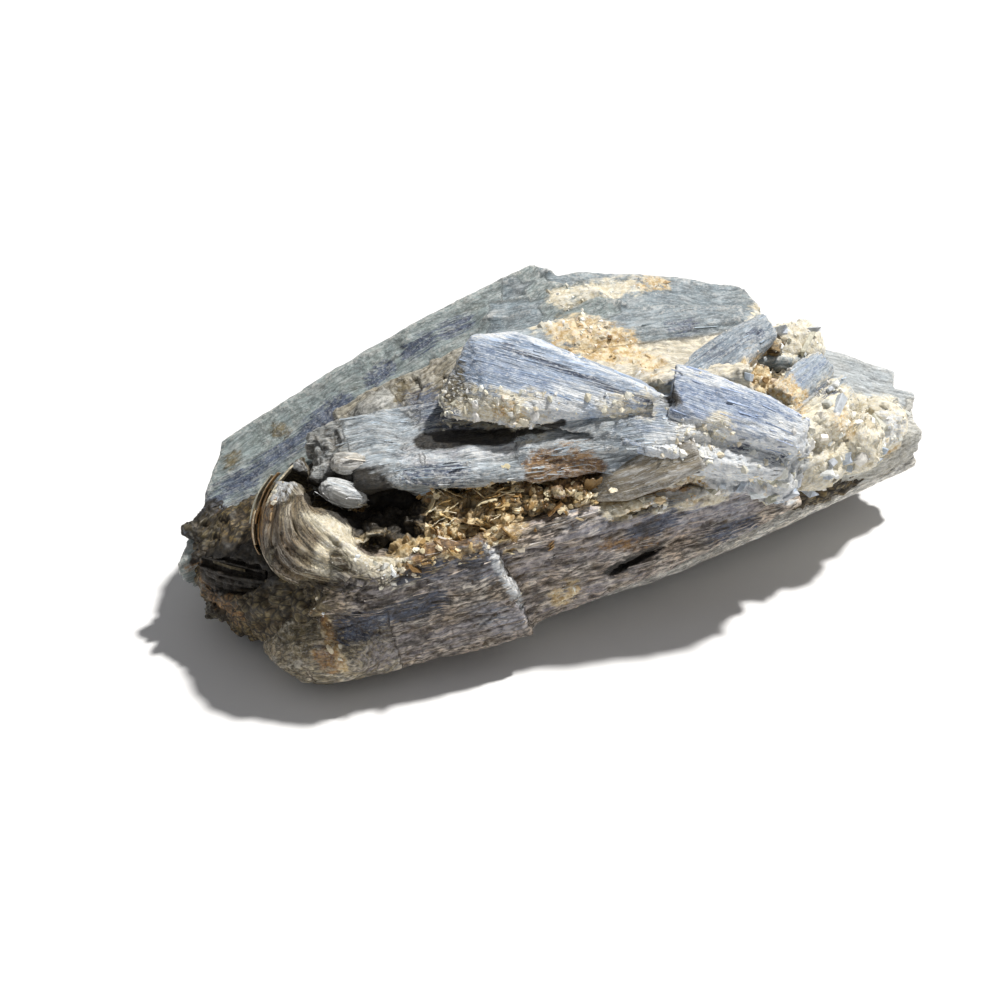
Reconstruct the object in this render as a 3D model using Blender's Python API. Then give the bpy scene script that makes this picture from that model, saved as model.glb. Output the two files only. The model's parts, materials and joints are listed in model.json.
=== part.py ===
"""Kyanite blade cluster: a rough hand specimen of intergrown kyanite blades, mica and quartz.

Frame: +X along the specimen's length, +Z up, origin under its middle on the flat it rests on.
Lengths below are millimetres, in the layout's own frame. The specimen is centred and scaled at the end.
"""

import math
import random

import bmesh
import bpy
import numpy as np
from mathutils import Matrix, Vector, noise

MM = 0.001

# Resolution of the grown-together skin, mm, and the facets left on the finished solid
SKIN_VOXEL = 0.62
FACETS = 9400
WEAR_FACTOR = 0.5
WEAR_PASSES = 3

# How blades and lumps depart from perfect boxes and balls, as shares of their own size
BLADE_CHAMFER = 0.16
BLADE_ROUGHNESS = 0.035
END_SLANT = 0.2
END_PINCH = (0.86, 0.86)
SHEAF_OVERLAP = 1.45
SHEAF_ROLL = 7.0
LUMP_ROUGHNESS = 0.07
HOLLOW_ROUGHNESS = 0.17
HEART_CORNER = 0.3

# Broken cleavage steps that run along each blade, and chips, mm
STEP_HEIGHT = 0.4
STEP_LENGTH = 17.0
STEP_WIDTH = 2.3
STEP_TREAD = 0.34
CHIP_HEIGHT = 0.28
CHIP_SIZE = 2.6

MICA_BOOKS = 16
TORN_SHEETS = 3
SEED = 7

# Cross-sections of the mass the blades grow from: x, front y, back y, underside z, top z
HEART_SECTIONS = (
    (-49.5, 0.5, 8.0, 6.5, 12.5),
    (-46.0, -5.5, 12.5, 1.5, 14.5),
    (-39.0, -12.0, 15.5, 0.6, 17.5),
    (-29.0, -15.0, 17.0, 0.0, 20.5),
    (-15.0, -15.5, 17.5, -0.4, 24.5),
    (0.0, -14.0, 17.0, -0.4, 28.5),
    (12.0, -13.0, 15.0, 0.2, 29.5),
    (24.0, -12.5, 11.5, 1.2, 26.5),
    (34.0, -11.5, 8.0, 2.5, 21.5),
    (42.0, -9.5, 4.5, 4.5, 17.5),
    (48.5, -7.0, 0.0, 7.5, 14.0),
)


def clear_scene():
    for obj in list(bpy.data.objects):
        bpy.data.objects.remove(obj, do_unlink=True)


def collection(name):
    made = bpy.data.collections.new(name)
    bpy.context.scene.collection.children.link(made)
    return made


def keep_as_helper(bm, name, group):
    """Stores a bmesh as a hidden ingredient of the specimen."""
    bmesh.ops.recalc_face_normals(bm, faces=bm.faces)
    mesh = bpy.data.meshes.new(name)
    bm.to_mesh(mesh)
    bm.free()
    obj = bpy.data.objects.new(name, mesh)
    obj.hide_render = True
    obj.display_type = "WIRE"
    group.objects.link(obj)
    return obj


def blade_frame(start, end, roll):
    """Rotation whose X runs along the blade, Y across its broad face and Z out of that face."""
    along = (Vector(end) - Vector(start)).normalized()
    across = Vector((0, 0, 1)).cross(along).normalized()
    out = along.cross(across)
    turn = Matrix.Rotation(math.radians(roll), 3, along)
    across, out = turn @ across, turn @ out
    return Matrix((along, across, out)).transposed()


class Grown:
    """The blades and lumps that make the specimen, and the hollows worn out of it."""

    def __init__(self):
        self.growth = collection("growth")
        self.hollows = collection("hollows")
        self.fillings = collection("fillings")
        self.stage = self.growth
        self.grains = []
        self.rng = random.Random(SEED)

    def blade(self, name, start, end, width, thick, roll=0.0, taper=(1, 1), skew=(0, 0), pinch=END_PINCH):
        """A tabular crystal from start to end.

        taper scales its section at the end, skew slants its two ends and pinch narrows each of them.
        """
        rotation = blade_frame(start, end, roll)
        length = (Vector(end) - Vector(start)).length
        bm = bmesh.new()
        bmesh.ops.create_cube(bm, size=1.0)
        long_edges = [e for e in bm.edges if abs(e.verts[0].co.x - e.verts[1].co.x) > 0.5]
        bmesh.ops.bevel(
            bm, geom=long_edges, offset=BLADE_CHAMFER, segments=1, profile=0.5, affect="EDGES", material=-1
        )
        long_edges = [e for e in bm.edges if abs(e.verts[0].co.x - e.verts[1].co.x) > 0.5]
        bmesh.ops.subdivide_edges(bm, edges=long_edges, cuts=2, use_grid_fill=True)
        ragged = [self.rng.uniform(-END_SLANT, END_SLANT) for _ in range(4)]
        for vert in bm.verts:
            share = vert.co.x + 0.5
            slant_y = (skew[0] + ragged[0]) * (1 - share) + (skew[1] + ragged[1]) * share
            slant_z = ragged[2] * (1 - share) + ragged[3] * share
            rough = [self.rng.uniform(-BLADE_ROUGHNESS, BLADE_ROUGHNESS) for _ in range(2)]
            narrow = 1 - (1 - pinch[share > 0.5]) * abs(2 * share - 1) ** 3
            vert.co.x = vert.co.x * length + slant_y * vert.co.y * width + slant_z * vert.co.z * width
            vert.co.y *= narrow * width * (1 + (taper[0] - 1) * share + rough[0])
            vert.co.z *= narrow * thick * (1 + (taper[1] - 1) * share + rough[1])
        middle = (Vector(start) + Vector(end)) / 2
        bmesh.ops.transform(bm, matrix=Matrix.Translation(middle) @ rotation.to_4x4(), verts=bm.verts)
        self.keep(bm, name, middle, rotation, (length, width, thick))

    def sheaf(self, name, start, end, width, thick, roll=0.0, count=4, spread=0.3, stagger=1.6, **shape):
        """Parallel blades grown side by side, with uneven ends and faces. shape goes to each blade."""
        taper, skew = shape.get("taper", (1, 1)), shape.get("skew", (0, 0))
        rotation = blade_frame(start, end, roll)
        along, across, out = (Vector(column) for column in rotation.transposed())
        for number in range(count):
            share = (number + 0.5) / count - 0.5
            proud = out * self.rng.uniform(-spread, spread)
            near = Vector(start) + across * share * width + proud
            far = Vector(end) + across * share * width * taper[0] + proud
            near += along * (skew[0] * share * width + self.rng.uniform(-stagger, stagger))
            far += along * (skew[1] * share * width + self.rng.uniform(-stagger, stagger))
            own_roll = roll + self.rng.uniform(-SHEAF_ROLL, SHEAF_ROLL)
            own_width = width / count * SHEAF_OVERLAP
            self.blade(f"{name}_{number + 1}", near, far, own_width, thick, own_roll, **shape)

    def lump(self, name, centre, size, turn=0.0, lean=0.0):
        """A rounded, faceted grain."""
        rotation = Matrix.Rotation(math.radians(turn), 3, "Z") @ Matrix.Rotation(math.radians(lean), 3, "Y")
        rough = HOLLOW_ROUGHNESS if self.stage == self.hollows else LUMP_ROUGHNESS
        bm = bmesh.new()
        bmesh.ops.create_icosphere(bm, subdivisions=2, radius=0.5)
        for vert in bm.verts:
            vert.co *= 1 + self.rng.uniform(-rough, rough)
            vert.co = Vector(c * s for c, s in zip(vert.co, size))
        matrix = Matrix.Translation(Vector(centre)) @ rotation.to_4x4()
        bmesh.ops.transform(bm, matrix=matrix, verts=bm.verts)
        self.keep(bm, name, Vector(centre), rotation, size)

    def crystal(self, name, points, start, end, roll=0.0):
        """A crystal with the flat faces of the hull of its corners. start and end give its grain."""
        bm = bmesh.new()
        for point in points:
            bm.verts.new(point)
        bmesh.ops.convex_hull(bm, input=bm.verts)
        rotation = blade_frame(start, end, roll)
        corners = [Vector(p) for p in points]
        middle = sum(corners, Vector()) / len(corners)
        local = [rotation.transposed() @ (p - middle) for p in corners]
        size = [2 * max(abs(p[i]) for p in local) for i in range(3)]
        self.keep(bm, name, middle, rotation, size)

    def keep(self, bm, name, middle, rotation, size):
        keep_as_helper(bm, name, self.stage)
        if self.stage != self.hollows:
            self.grains.append((np.array(middle), np.array(rotation), np.array(size) / 2))


def grow_heart(grown):
    """The mass inside, as a skin over its cross-sections."""
    bm = bmesh.new()
    rings = []
    for x, front, back, under, top in HEART_SECTIONS:
        wide, tall = back - front, top - under
        outline = [
            (front, under + HEART_CORNER * tall),
            (front + HEART_CORNER * wide, under),
            (back - HEART_CORNER * wide, under),
            (back, under + HEART_CORNER * tall),
            (back, top - HEART_CORNER * tall),
            (back - HEART_CORNER * wide, top),
            (front + HEART_CORNER * wide, top),
            (front, top - HEART_CORNER * tall),
        ]
        ring = [bm.verts.new((x, y, z)) for y, z in outline]
        rings.append([bm.edges.new(pair) for pair in zip(ring, ring[1:] + ring[:1])])
    for near, far in zip(rings, rings[1:]):
        bmesh.ops.bridge_loops(bm, edges=near + far)
    for ring in (rings[0], rings[-1]):
        bmesh.ops.edgeloop_fill(bm, edges=ring)
    grown.keep(bm, "heart", Vector((0, 0, 12)), Matrix.Identity(3), (60, 20, 16))


def grow_back_plate_and_crown(grown):
    """The broad plate that climbs the back left, the blades along the top and those of the back face."""
    plate = dict(roll=26, count=4, spread=0.2, stagger=0.8, skew=(0.95, -0.6), pinch=(0.86, 0.6))
    grown.sheaf("back_plate", (-45.2, 12.4, 12.0), (7, 14.0, 32.2), 13, 9, **plate)
    crown = dict(roll=20, count=4, taper=(0.85, 0.95), skew=(0.2, -0.5), pinch=(0.25, 0.8))
    grown.sheaf("crown", (-5.5, 11.8, 30.8), (32.2, 5.6, 24.2), 16, 7.6, **crown)
    grown.blade("crown_blade", (-9, 7.8, 31.0), (27, 4.4, 29.2), 5.5, 4, roll=24, pinch=(0.5, 0.6))
    grown.sheaf("trough_bank", (-10, 4.5, 28.2), (24, -2.5, 27.0), 11, 5.5, roll=-4, count=3)
    grown.sheaf("plate_foot", (-29, 7.0, 21.6), (-9, 5.6, 28.6), 8, 5, roll=18, count=3)
    grown.lump("pale_knob", (-24.0, 6.6, 25.6), (6.5, 4.5, 4.5), turn=10, lean=-20)
    back_low = dict(roll=96, count=5, spread=0.6, stagger=5, taper=(0.7, 0.9), pinch=(0.5, 0.5))
    grown.sheaf("back_low", (-34, 13.0, 10.0), (29, 10.5, 9.5), 15, 8, **back_low)
    back_high = dict(roll=72, count=4, spread=0.6, stagger=4, taper=(0.8, 0.8), pinch=(0.6, 0.6))
    grown.sheaf("back_high", (-22, 14.0, 19), (30, 9.5, 20.5), 11, 8, **back_high)
    belly = dict(count=4, spread=0.6, stagger=4, taper=(0.7, 0.9), pinch=(0.6, 0.6))
    grown.sheaf("belly", (-32, 1.0, 3.6), (36, 0.5, 5.6), 18, 7, **belly)


def grow_wedge_and_shelf(grown):
    """The tall wedge, the blue blade it breaks into, and the long shelf beneath them."""
    wedge = (
        (-12.3, 2.2, 37.6),
        (-6.8, 1.6, 37.2),
        (3.0, -8.6, 34.2),
        (7.3, -12.3, 32.6),
        (-12.8, -3.6, 33.4),
        (-10.5, -6.4, 32.2),
        (-3.4, -9.8, 30.9),
        (-18.0, -0.4, 31.0),
        (-17.6, -2.6, 29.3),
        (-9.9, -7.7, 29.2),
        (4.4, -11.7, 30.2),
        (-8.0, 7.0, 33.0),
        (8.0, -5.0, 30.0),
        (-16.0, 5.0, 27.0),
    )
    grown.crystal("wedge", wedge, (-12, 1, 37), (7, -12, 33), roll=35)
    blue = dict(roll=33, taper=(0.85, 0.85), pinch=(0.92, 0.7))
    grown.blade("blue_blade", (9.6, -9.9, 30.7), (23.9, -18.8, 26.0), 7.5, 5, **blue)
    grown.sheaf("blue_blade_foot", (4, -11.0, 28.0), (21, -17.5, 23.5), 7, 5, roll=30, count=2, pinch=(0.7, 0.7))
    shelf = dict(roll=14, count=3, spread=0.2, pinch=(0.5, 0.8))
    grown.sheaf("shelf", (-29, 1.0, 24.2), (17, -11.4, 25.2), 12.5, 5.2, **shelf)
    shelf_back = dict(roll=42, count=2, spread=0.2, pinch=(0.5, 0.8))
    grown.sheaf("shelf_back", (-11.0, -6.8, 26.6), (13, -13.3, 28.1), 5.8, 5, **shelf_back)
    root = dict(roll=12, count=3, pinch=(0.6, 0.5))
    grown.sheaf("shelf_root", (-33, 4.0, 22.3), (-20, -0.9, 24.2), 9, 6.5, **root)
    pale = dict(roll=48, taper=(1.15, 1), pinch=(0.4, 0.8))
    grown.blade("pale_blade", (-7, -10.6, 19.2), (15, -12.8, 22.6), 5.8, 4.8, **pale)
    grown.lump("shelf_end", (20.0, -16.4, 19.6), (9, 7, 8), turn=-25, lean=15)
    grown.lump("shelf_end_low", (14.6, -15.2, 20.0), (8, 5.5, 6), turn=-15)
    grown.lump("shelf_end_far", (23.5, -15.5, 22.6), (6, 6, 6))


def grow_front(grown):
    """The slabs of the front face."""
    slab = dict(roll=84, count=5, skew=(0.45, -0.22), stagger=0.8, pinch=(0.6, 0.95))
    grown.sheaf("front_slab", (-39.0, -10.4, 10.0), (-14.8, -13.6, 12.6), 16.0, 9.0, **slab)
    far_slab = dict(roll=80, count=4, taper=(0.3, 0.8), pinch=(0.86, 0.6))
    grown.sheaf("front_slab_far", (-19, -12.4, 12.2), (23.5, -15.6, 16.0), 16.0, 8, **far_slab)
    under = dict(roll=66, count=2, spread=0.2, taper=(0.9, 0.75), pinch=(0.6, 0.7))
    grown.sheaf("under_blade", (-16, -10.6, 4.8), (47.0, -6.0, 10.2), 8.0, 8.5, **under)
    grown.lump("chin", (-36.4, -10.4, 5.8), (18, 13, 11), turn=-35, lean=-10)


def grow_left_fold(grown):
    """The folded blades at the left end."""
    grown.lump("fold_nose", (-36.8, -7.0, 18.6), (10.5, 9.5, 9.0), turn=-40, lean=12)
    grown.sheaf("fold_side", (-36.0, -6.0, 20.6), (-27.4, -14.2, 17.2), 6.5, 5.5, roll=25, count=2)
    grown.lump("fold_foot", (-34.5, -10.6, 13.8), (11, 8, 7), turn=-30)
    grown.sheaf("left_lip", (-48.4, 4.6, 12.0), (-38, 9.0, 14.2), 7, 3.6, roll=10, count=2)
    grown.blade("left_floor", (-48.0, 3.5, 6.4), (-38, -1.0, 6.4), 8, 4, roll=20)


def grow_right_end(grown):
    """The crumbly end where short blades stand in mica."""
    end_blade = dict(roll=12, count=3, taper=(0.7, 0.8), pinch=(0.7, 0.7))
    grown.sheaf("end_blade", (30, -4.5, 12.8), (49.2, -5.0, 12.2), 12.5, 9, **end_blade)
    end_slab = dict(roll=12, count=2, taper=(0.75, 0.8), pinch=(0.95, 0.8))
    grown.sheaf("end_slab", (28, 5.6, 20.6), (48.6, -2.4, 15.0), 8.5, 5, **end_slab)
    grown.blade("slant_blade", (12, -6.0, 27.6), (28.6, 0.3, 29.4), 5.5, 4.5, roll=24, pinch=(0.8, 0.7))
    grown.blade("short_blade", (26, -8.4, 24.4), (35.0, -3.4, 24.4), 4.6, 3.4, roll=30)
    grown.blade("short_blade_low", (24.5, -12.8, 22.2), (37.6, -6.6, 21.4), 5.4, 4, roll=30)
    crumbs = (
        ((31.5, -10.2, 20.4), (9, 8, 8), 20),
        ((36.5, -11.6, 16.8), (8, 8, 8.5), 40),
        ((41.5, -8.2, 16.0), (9, 8, 8), -20),
        ((34.0, 2.6, 23.6), (10, 8, 8), 15),
        ((30.0, -12.6, 16.0), (10, 7, 8), 10),
    )
    for number, (centre, size, turn) in enumerate(crumbs, start=1):
        grown.lump(f"crumb_{number}", centre, size, turn)


def wear_hollows(grown):
    """The pocket under the shelf, the crevices and the notches."""
    grown.stage = grown.hollows
    grown.lump("mica_pocket_1", (-27.0, -8.0, 19.8), (11, 13, 6.8), turn=-10)
    grown.lump("mica_pocket_2", (-19.5, -10.4, 20.8), (13, 11, 5.6), turn=-10)
    grown.lump("mica_pocket_3", (-11.5, -12.2, 21.6), (13, 9, 4.4), turn=-12)
    grown.lump("mica_pocket_4", (-3.0, -13.0, 22.8), (13, 7, 2.8), turn=-14)
    grown.blade("crevice", (-26, -0.8, 28.0), (-2.6, -6.8, 29.6), 12, 2.6, roll=12, taper=(0.8, 0.15))
    cavity = dict(roll=-14, taper=(0.75, 0.55))
    grown.blade("left_cavity", (-51.0, 1.6, 11.0), (-40.5, -2.4, 12.4), 9.5, 4.6, **cavity)
    grown.lump("left_cavity_end", (-41.5, -3.4, 11.8), (6, 5, 3.6), turn=30)
    grown.blade("fold_gap", (-38.0, 0.6, 24.5), (-31.0, -3.6, 19.6), 2.4, 7.0, roll=30, taper=(0.7, 0.6))
    grown.blade("blade_notch", (7.6, -15.0, 33.4), (9.2, -7.0, 33.4), 1.3, 5.0)
    grown.blade("front_crack", (-2.0, -17.0, 11.0), (6.0, -16.4, 13.2), 3.0, 0.8, roll=10)
    grown.blade("pale_blade_crack", (-2.0, -15.6, 18.6), (12.0, -17.2, 20.2), 3.0, 0.9, roll=10)


def fill_hollows(grown):
    """What stands free inside the hollows: mica books, white grains and thin torn sheets."""
    grown.stage = grown.fillings
    random_share = grown.rng.uniform
    pocket_start, pocket_end = Vector((-31, -6.2, 18.0)), Vector((-2, -11.4, 21.8))
    for book in range(MICA_BOOKS):
        share = book / (MICA_BOOKS - 1)
        base = pocket_start.lerp(pocket_end, share)
        base += Vector((0, random_share(-2.6, 1.0), random_share(-1.2, 1.6) * (1 - 0.6 * share)))
        lie = Vector((random_share(0.6, 1), random_share(-1, 0.3), random_share(-0.5, 0.9)))
        reach = lie.normalized() * random_share(1.6, 2.8)
        wide, thick, roll = random_share(2.2, 4.2), random_share(0.8, 1.3), random_share(-60, 60)
        grown.blade(f"mica_book_{book + 1}", base - reach, base + reach, wide, thick, roll)
    for sheet in range(TORN_SHEETS):
        shift = 1.5 * sheet
        start = (-43.0, 1.5 - shift, 17.4)
        end = (-33.6, 4.0 - 0.7 * shift, 24.2)
        grown.blade(f"rim_sheet_{sheet + 1}", start, end, 6.5, 1.1, roll=62)
        level = 9.4 + 1.6 * sheet
        start = (-48.0, 3.4, level)
        end = (-40.0, -2.6, level)
        grown.blade(f"cavity_sheet_{sheet + 1}", start, end, 6.5, 0.9, roll=8)
    grown.lump("white_grain", (-31.8, -3.6, 22.6), (6.4, 3.6, 3.4), turn=-24, lean=22)
    grown.lump("white_grain_high", (-30.0, -1.2, 24.8), (5.4, 3.2, 2.8), turn=-12, lean=10)


def drop_scraps(bm):
    """Removes the bits that the hollows have cut loose, leaving one body."""
    unseen = set(bm.verts)
    bodies = []
    while unseen:
        body = [unseen.pop()]
        for vert in body:
            for edge in vert.link_edges:
                other = edge.other_vert(vert)
                if other in unseen:
                    unseen.remove(other)
                    body.append(other)
        bodies.append(body)
    bodies.sort(key=len)
    scraps = [vert for body in bodies[:-1] for vert in body]
    bmesh.ops.delete(bm, geom=scraps, context="VERTS")


def near_grain(points, grains):
    """For each point the index of the crystal whose box it lies nearest to, the heart as a last choice."""
    best = np.full(len(points), np.inf)
    index = np.zeros(len(points), int)
    for number, (middle, rotation, half) in enumerate(grains):
        local = (points - middle) @ rotation
        outside = np.abs(local) - half
        depth = np.minimum(outside.max(axis=1), 0)
        gap = np.linalg.norm(np.maximum(outside, 0), axis=1) + 0.3 * depth
        gap += 2.0 if number == 0 else 0.0
        closer = gap < best
        best[closer], index[closer] = gap[closer], number
    return index


def terraced(value):
    """Rounds a smooth value into flat treads with short risers."""
    whole = math.floor(value / STEP_TREAD)
    rest = value / STEP_TREAD - whole
    return (whole + min(1.0, max(0.0, (rest - 0.32) / 0.36))) * STEP_TREAD


def break_surface(mesh, grains):
    """Moves the skin in and out: long cleavage steps along each crystal and chips everywhere."""
    count = len(mesh.vertices)
    points = np.empty(count * 3)
    mesh.vertices.foreach_get("co", points)
    points = points.reshape(-1, 3)
    normals = np.empty(count * 3)
    mesh.vertices.foreach_get("normal", normals)
    normals = normals.reshape(-1, 3)
    index = near_grain(points, grains)
    moved = np.zeros(count)
    for number, (middle, rotation, _) in enumerate(grains):
        for at in np.nonzero(index == number)[0]:
            along, across, out = (points[at] - middle) @ rotation
            place = Vector((along / STEP_LENGTH, across / STEP_WIDTH, out / STEP_WIDTH + 9.7 * number))
            steps = terraced(noise.noise(place))
            chips = noise.noise(Vector(points[at] / CHIP_SIZE))
            moved[at] = STEP_HEIGHT * steps + CHIP_HEIGHT * chips
    points += normals * moved[:, None]
    mesh.vertices.foreach_set("co", points.ravel())
    mesh.update()


def apply_modifiers(obj):
    """Replaces an object's mesh by the mesh its modifiers make of it."""
    bpy.context.view_layer.update()
    graph = bpy.context.evaluated_depsgraph_get()
    made = bpy.data.meshes.new_from_object(obj.evaluated_get(graph), depsgraph=graph)
    obj.modifiers.clear()
    obj.data = made


def boolean(obj, operation, group=None, other=None):
    modifier = obj.modifiers.new(operation.lower(), "BOOLEAN")
    modifier.operation = operation
    modifier.solver = "EXACT"
    if group:
        modifier.operand_type = "COLLECTION"
        modifier.collection = group
    else:
        modifier.object = other
    return modifier


def kyanite():
    """Grey-blue kyanite with a pearly, slightly rough face."""
    material = bpy.data.materials.new("kyanite")
    material.use_nodes = True
    shader = material.node_tree.nodes["Principled BSDF"]
    shader.inputs["Base Color"].default_value = (0.36, 0.40, 0.46, 1)
    shader.inputs["Roughness"].default_value = 0.55
    shader.inputs["Metallic"].default_value = 0.0
    return material


def grown_together():
    """One object whose skin runs over every crystal and into every hollow."""
    grown = Grown()
    grow_heart(grown)
    grow_back_plate_and_crown(grown)
    grow_wedge_and_shelf(grown)
    grow_front(grown)
    grow_left_fold(grown)
    grow_right_end(grown)
    wear_hollows(grown)
    fill_hollows(grown)

    heart = grown.growth.objects["heart"]
    specimen = bpy.data.objects.new("blade_cluster", heart.data.copy())
    bpy.context.scene.collection.objects.link(specimen)
    grown.growth.objects.unlink(heart)
    boolean(specimen, "UNION", grown.growth)
    boolean(specimen, "DIFFERENCE", grown.hollows)
    boolean(specimen, "UNION", grown.fillings)
    skin = specimen.modifiers.new("skin", "REMESH")
    skin.mode = "VOXEL"
    skin.voxel_size = SKIN_VOXEL
    wear = specimen.modifiers.new("wear", "SMOOTH")
    wear.factor = WEAR_FACTOR
    wear.iterations = WEAR_PASSES
    apply_modifiers(specimen)
    break_surface(specimen.data, grown.grains)
    return specimen


def facet(specimen):
    """Cuts the fine skin down to a few thousand flat facets."""
    bm = bmesh.new()
    bm.from_mesh(specimen.data)
    drop_scraps(bm)
    bmesh.ops.triangulate(bm, faces=bm.faces)
    fine = len(bm.faces)
    bm.to_mesh(specimen.data)
    bm.free()
    facets = specimen.modifiers.new("facets", "DECIMATE")
    facets.ratio = FACETS / fine
    apply_modifiers(specimen)


def rest_on_flat(specimen):
    """Breaks the underside off flat at the height it rests on."""
    deep, broad = 40.0, 200.0
    bm = bmesh.new()
    bmesh.ops.create_cube(bm, size=1.0)
    shape = Matrix.Translation((0, 0, -deep / 2)) @ Matrix.Diagonal((broad, broad, deep, 1))
    bmesh.ops.transform(bm, matrix=shape, verts=bm.verts)
    table_top = keep_as_helper(bm, "table_top", collection("cutters"))
    boolean(specimen, "DIFFERENCE", other=table_top)
    apply_modifiers(specimen)


def centre_and_scale(specimen):
    """Puts the origin under the middle of the specimen, in metres."""
    points = [vert.co for vert in specimen.data.vertices]
    middle = [(min(p[i] for p in points) + max(p[i] for p in points)) / 2 for i in range(2)]
    specimen.data.transform(Matrix.Scale(MM, 4) @ Matrix.Translation((-middle[0], -middle[1], 0)))


def main():
    clear_scene()
    specimen = grown_together()
    facet(specimen)
    rest_on_flat(specimen)
    centre_and_scale(specimen)
    specimen.data.materials.clear()
    specimen.data.materials.append(kyanite())


main()
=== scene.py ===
"""The looks of a kyanite blade cluster: a rough specimen of intergrown kyanite blades, mica and quartz.

The crystals are grown again from the layout of the solid, at a much finer grain, and the minerals are
painted on them. Lengths are millimetres in the layout's own frame. LAYOUT_MIDDLE moves them onto the
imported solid, and a piece is brought to metres when it is finished.
"""

import json
import math
import random
from itertools import product
from typing import NamedTuple

import bmesh
import bpy
import numpy as np
from mathutils import Matrix, Vector

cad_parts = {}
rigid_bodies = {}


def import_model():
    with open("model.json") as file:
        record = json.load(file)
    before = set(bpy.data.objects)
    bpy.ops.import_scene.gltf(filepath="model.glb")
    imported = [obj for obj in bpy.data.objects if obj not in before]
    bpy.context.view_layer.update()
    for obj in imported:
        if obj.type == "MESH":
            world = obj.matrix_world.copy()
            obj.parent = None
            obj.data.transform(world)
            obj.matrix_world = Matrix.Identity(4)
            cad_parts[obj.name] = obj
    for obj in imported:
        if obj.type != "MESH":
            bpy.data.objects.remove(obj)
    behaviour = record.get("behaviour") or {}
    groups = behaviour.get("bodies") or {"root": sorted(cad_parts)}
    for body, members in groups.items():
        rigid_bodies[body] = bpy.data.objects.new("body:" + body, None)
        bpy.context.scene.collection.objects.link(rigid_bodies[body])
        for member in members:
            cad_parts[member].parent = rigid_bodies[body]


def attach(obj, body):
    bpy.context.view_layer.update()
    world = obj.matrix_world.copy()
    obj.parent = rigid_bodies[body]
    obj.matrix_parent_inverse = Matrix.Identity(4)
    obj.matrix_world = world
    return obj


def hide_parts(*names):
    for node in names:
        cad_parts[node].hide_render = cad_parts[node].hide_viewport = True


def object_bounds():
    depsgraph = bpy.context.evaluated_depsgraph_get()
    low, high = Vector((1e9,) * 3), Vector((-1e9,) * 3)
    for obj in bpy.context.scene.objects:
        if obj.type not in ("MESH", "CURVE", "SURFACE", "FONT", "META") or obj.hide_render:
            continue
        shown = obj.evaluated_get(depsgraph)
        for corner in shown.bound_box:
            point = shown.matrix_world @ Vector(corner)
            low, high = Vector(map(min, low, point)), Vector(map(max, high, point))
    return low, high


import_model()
CAD_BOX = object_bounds()

MM = 0.001
LAYOUT_MIDDLE = (-0.6786, 0.6719, 0.0)
SEED = 7
BOX_MARGIN = 0.02

# How blades and lumps depart from perfect boxes and balls, as shares of their own size
BLADE_CHAMFER = 0.16
BLADE_ROUGHNESS = 0.035
END_SLANT = 0.2
END_PINCH = (0.86, 0.86)
SHEAF_OVERLAP = 1.45
LUMP_ROUGHNESS = 0.07
HOLLOW_ROUGHNESS = 0.17
HEART_CORNER = 0.3
# How far a sheaf's blades roll apart, in degrees
SHEAF_ROLL = 7.0
# The heart's size in mm. It is the first crystal, and gives way to its neighbours by its set-back in mm
HEART_GRAIN_SIZE = (98, 20, 16)
HEART_SET_BACK = 2.0
# How many mica books and thin sheets stand in the hollows
MICA_BOOKS = 16
TORN_SHEETS = 3

# Cross-sections of the mass the blades grow from: x, front y, back y, underside z, top z
HEART_SECTIONS = (
    (-49.5, 0.5, 8.0, 6.5, 12.5),
    (-46.0, -5.5, 12.5, 1.5, 14.5),
    (-39.0, -12.0, 15.5, 0.6, 17.5),
    (-29.0, -15.0, 17.0, 0.0, 20.5),
    (-15.0, -15.5, 17.5, -0.4, 24.5),
    (0.0, -14.0, 17.0, -0.4, 28.5),
    (12.0, -13.0, 15.0, 0.2, 29.5),
    (24.0, -12.5, 11.5, 1.2, 26.5),
    (34.0, -11.5, 8.0, 2.5, 21.5),
    (42.0, -9.5, 4.5, 4.5, 17.5),
    (48.5, -7.0, 0.0, 7.5, 14.0),
)

# Each fine skin: the crystals in it by the start of their names, its resolution in mm, how much of the
# grooves between its crystals has grown shut, and its material
SKINS = {
    "core": (("heart", "belly", "back_low", "back_high"), 0.42, 0.5, "mottled"),
    "plate_and_crown": (
        ("back_plate", "crown", "trough_bank", "plate_foot", "pale_knob"),
        0.28,
        0.8,
        "mottled",
    ),
    "wedge_and_blue_blade": (("wedge", "blue_blade"), 0.2, 0.3, "fibrous"),
    "shelf": (("shelf", "pale_blade"), 0.24, 0.7, "fibrous"),
    "front_slabs": (("front_slab", "under_blade", "chin"), 0.26, 0.8, "scaly"),
    "left_fold": (("fold", "left"), 0.24, 0.2, "layered"),
    "loose_in_hollows": (("cavity_leaf", "white_grain", "lens_blade"), 0.2, 0.0, "layered"),
    "mica_pocket": (("mica",), 0.2, 0.3, "crumbly"),
    "right_end": (("end", "slant_blade", "short_blade", "crumb"), 0.25, 0.4, "crumbly"),
}
# Skins that fill the hollows, so the hollows aren't cut from them
FILLINGS = ("loose_in_hollows", "mica_pocket")
SKIN_MOST_TRIANGLES = 198_000
# Bits of a skin with fewer vertices are dropped
LEAST_SKIN_VERTICES = 400
# Rounds of averaging that find the level which grooves between crystals have grown shut to
HEALING_ROUNDS = (40, 12)
# Crystals that stay clean
UNSTAINED = ("white_grain", "lens_blade")
# Crystals of the solid that are made another way here
REDRAWN = ("fold_side", "rim_sheet", "cavity_sheet")


class Kind(NamedTuple):
    """What crystals of one kind share.

    finish is the height of their cleavage steps, fibres, chips and crumbs in mm, how far their ends splinter
    in mm and how much their grain bends. body is their colour and dirt how dirty their grooves are, which
    also sets how dark the painted shade in those grooves is. A few bodies also carry painted light, noted at
    their kinds.
    """

    finish: tuple
    body: tuple
    dirt: float


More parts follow.
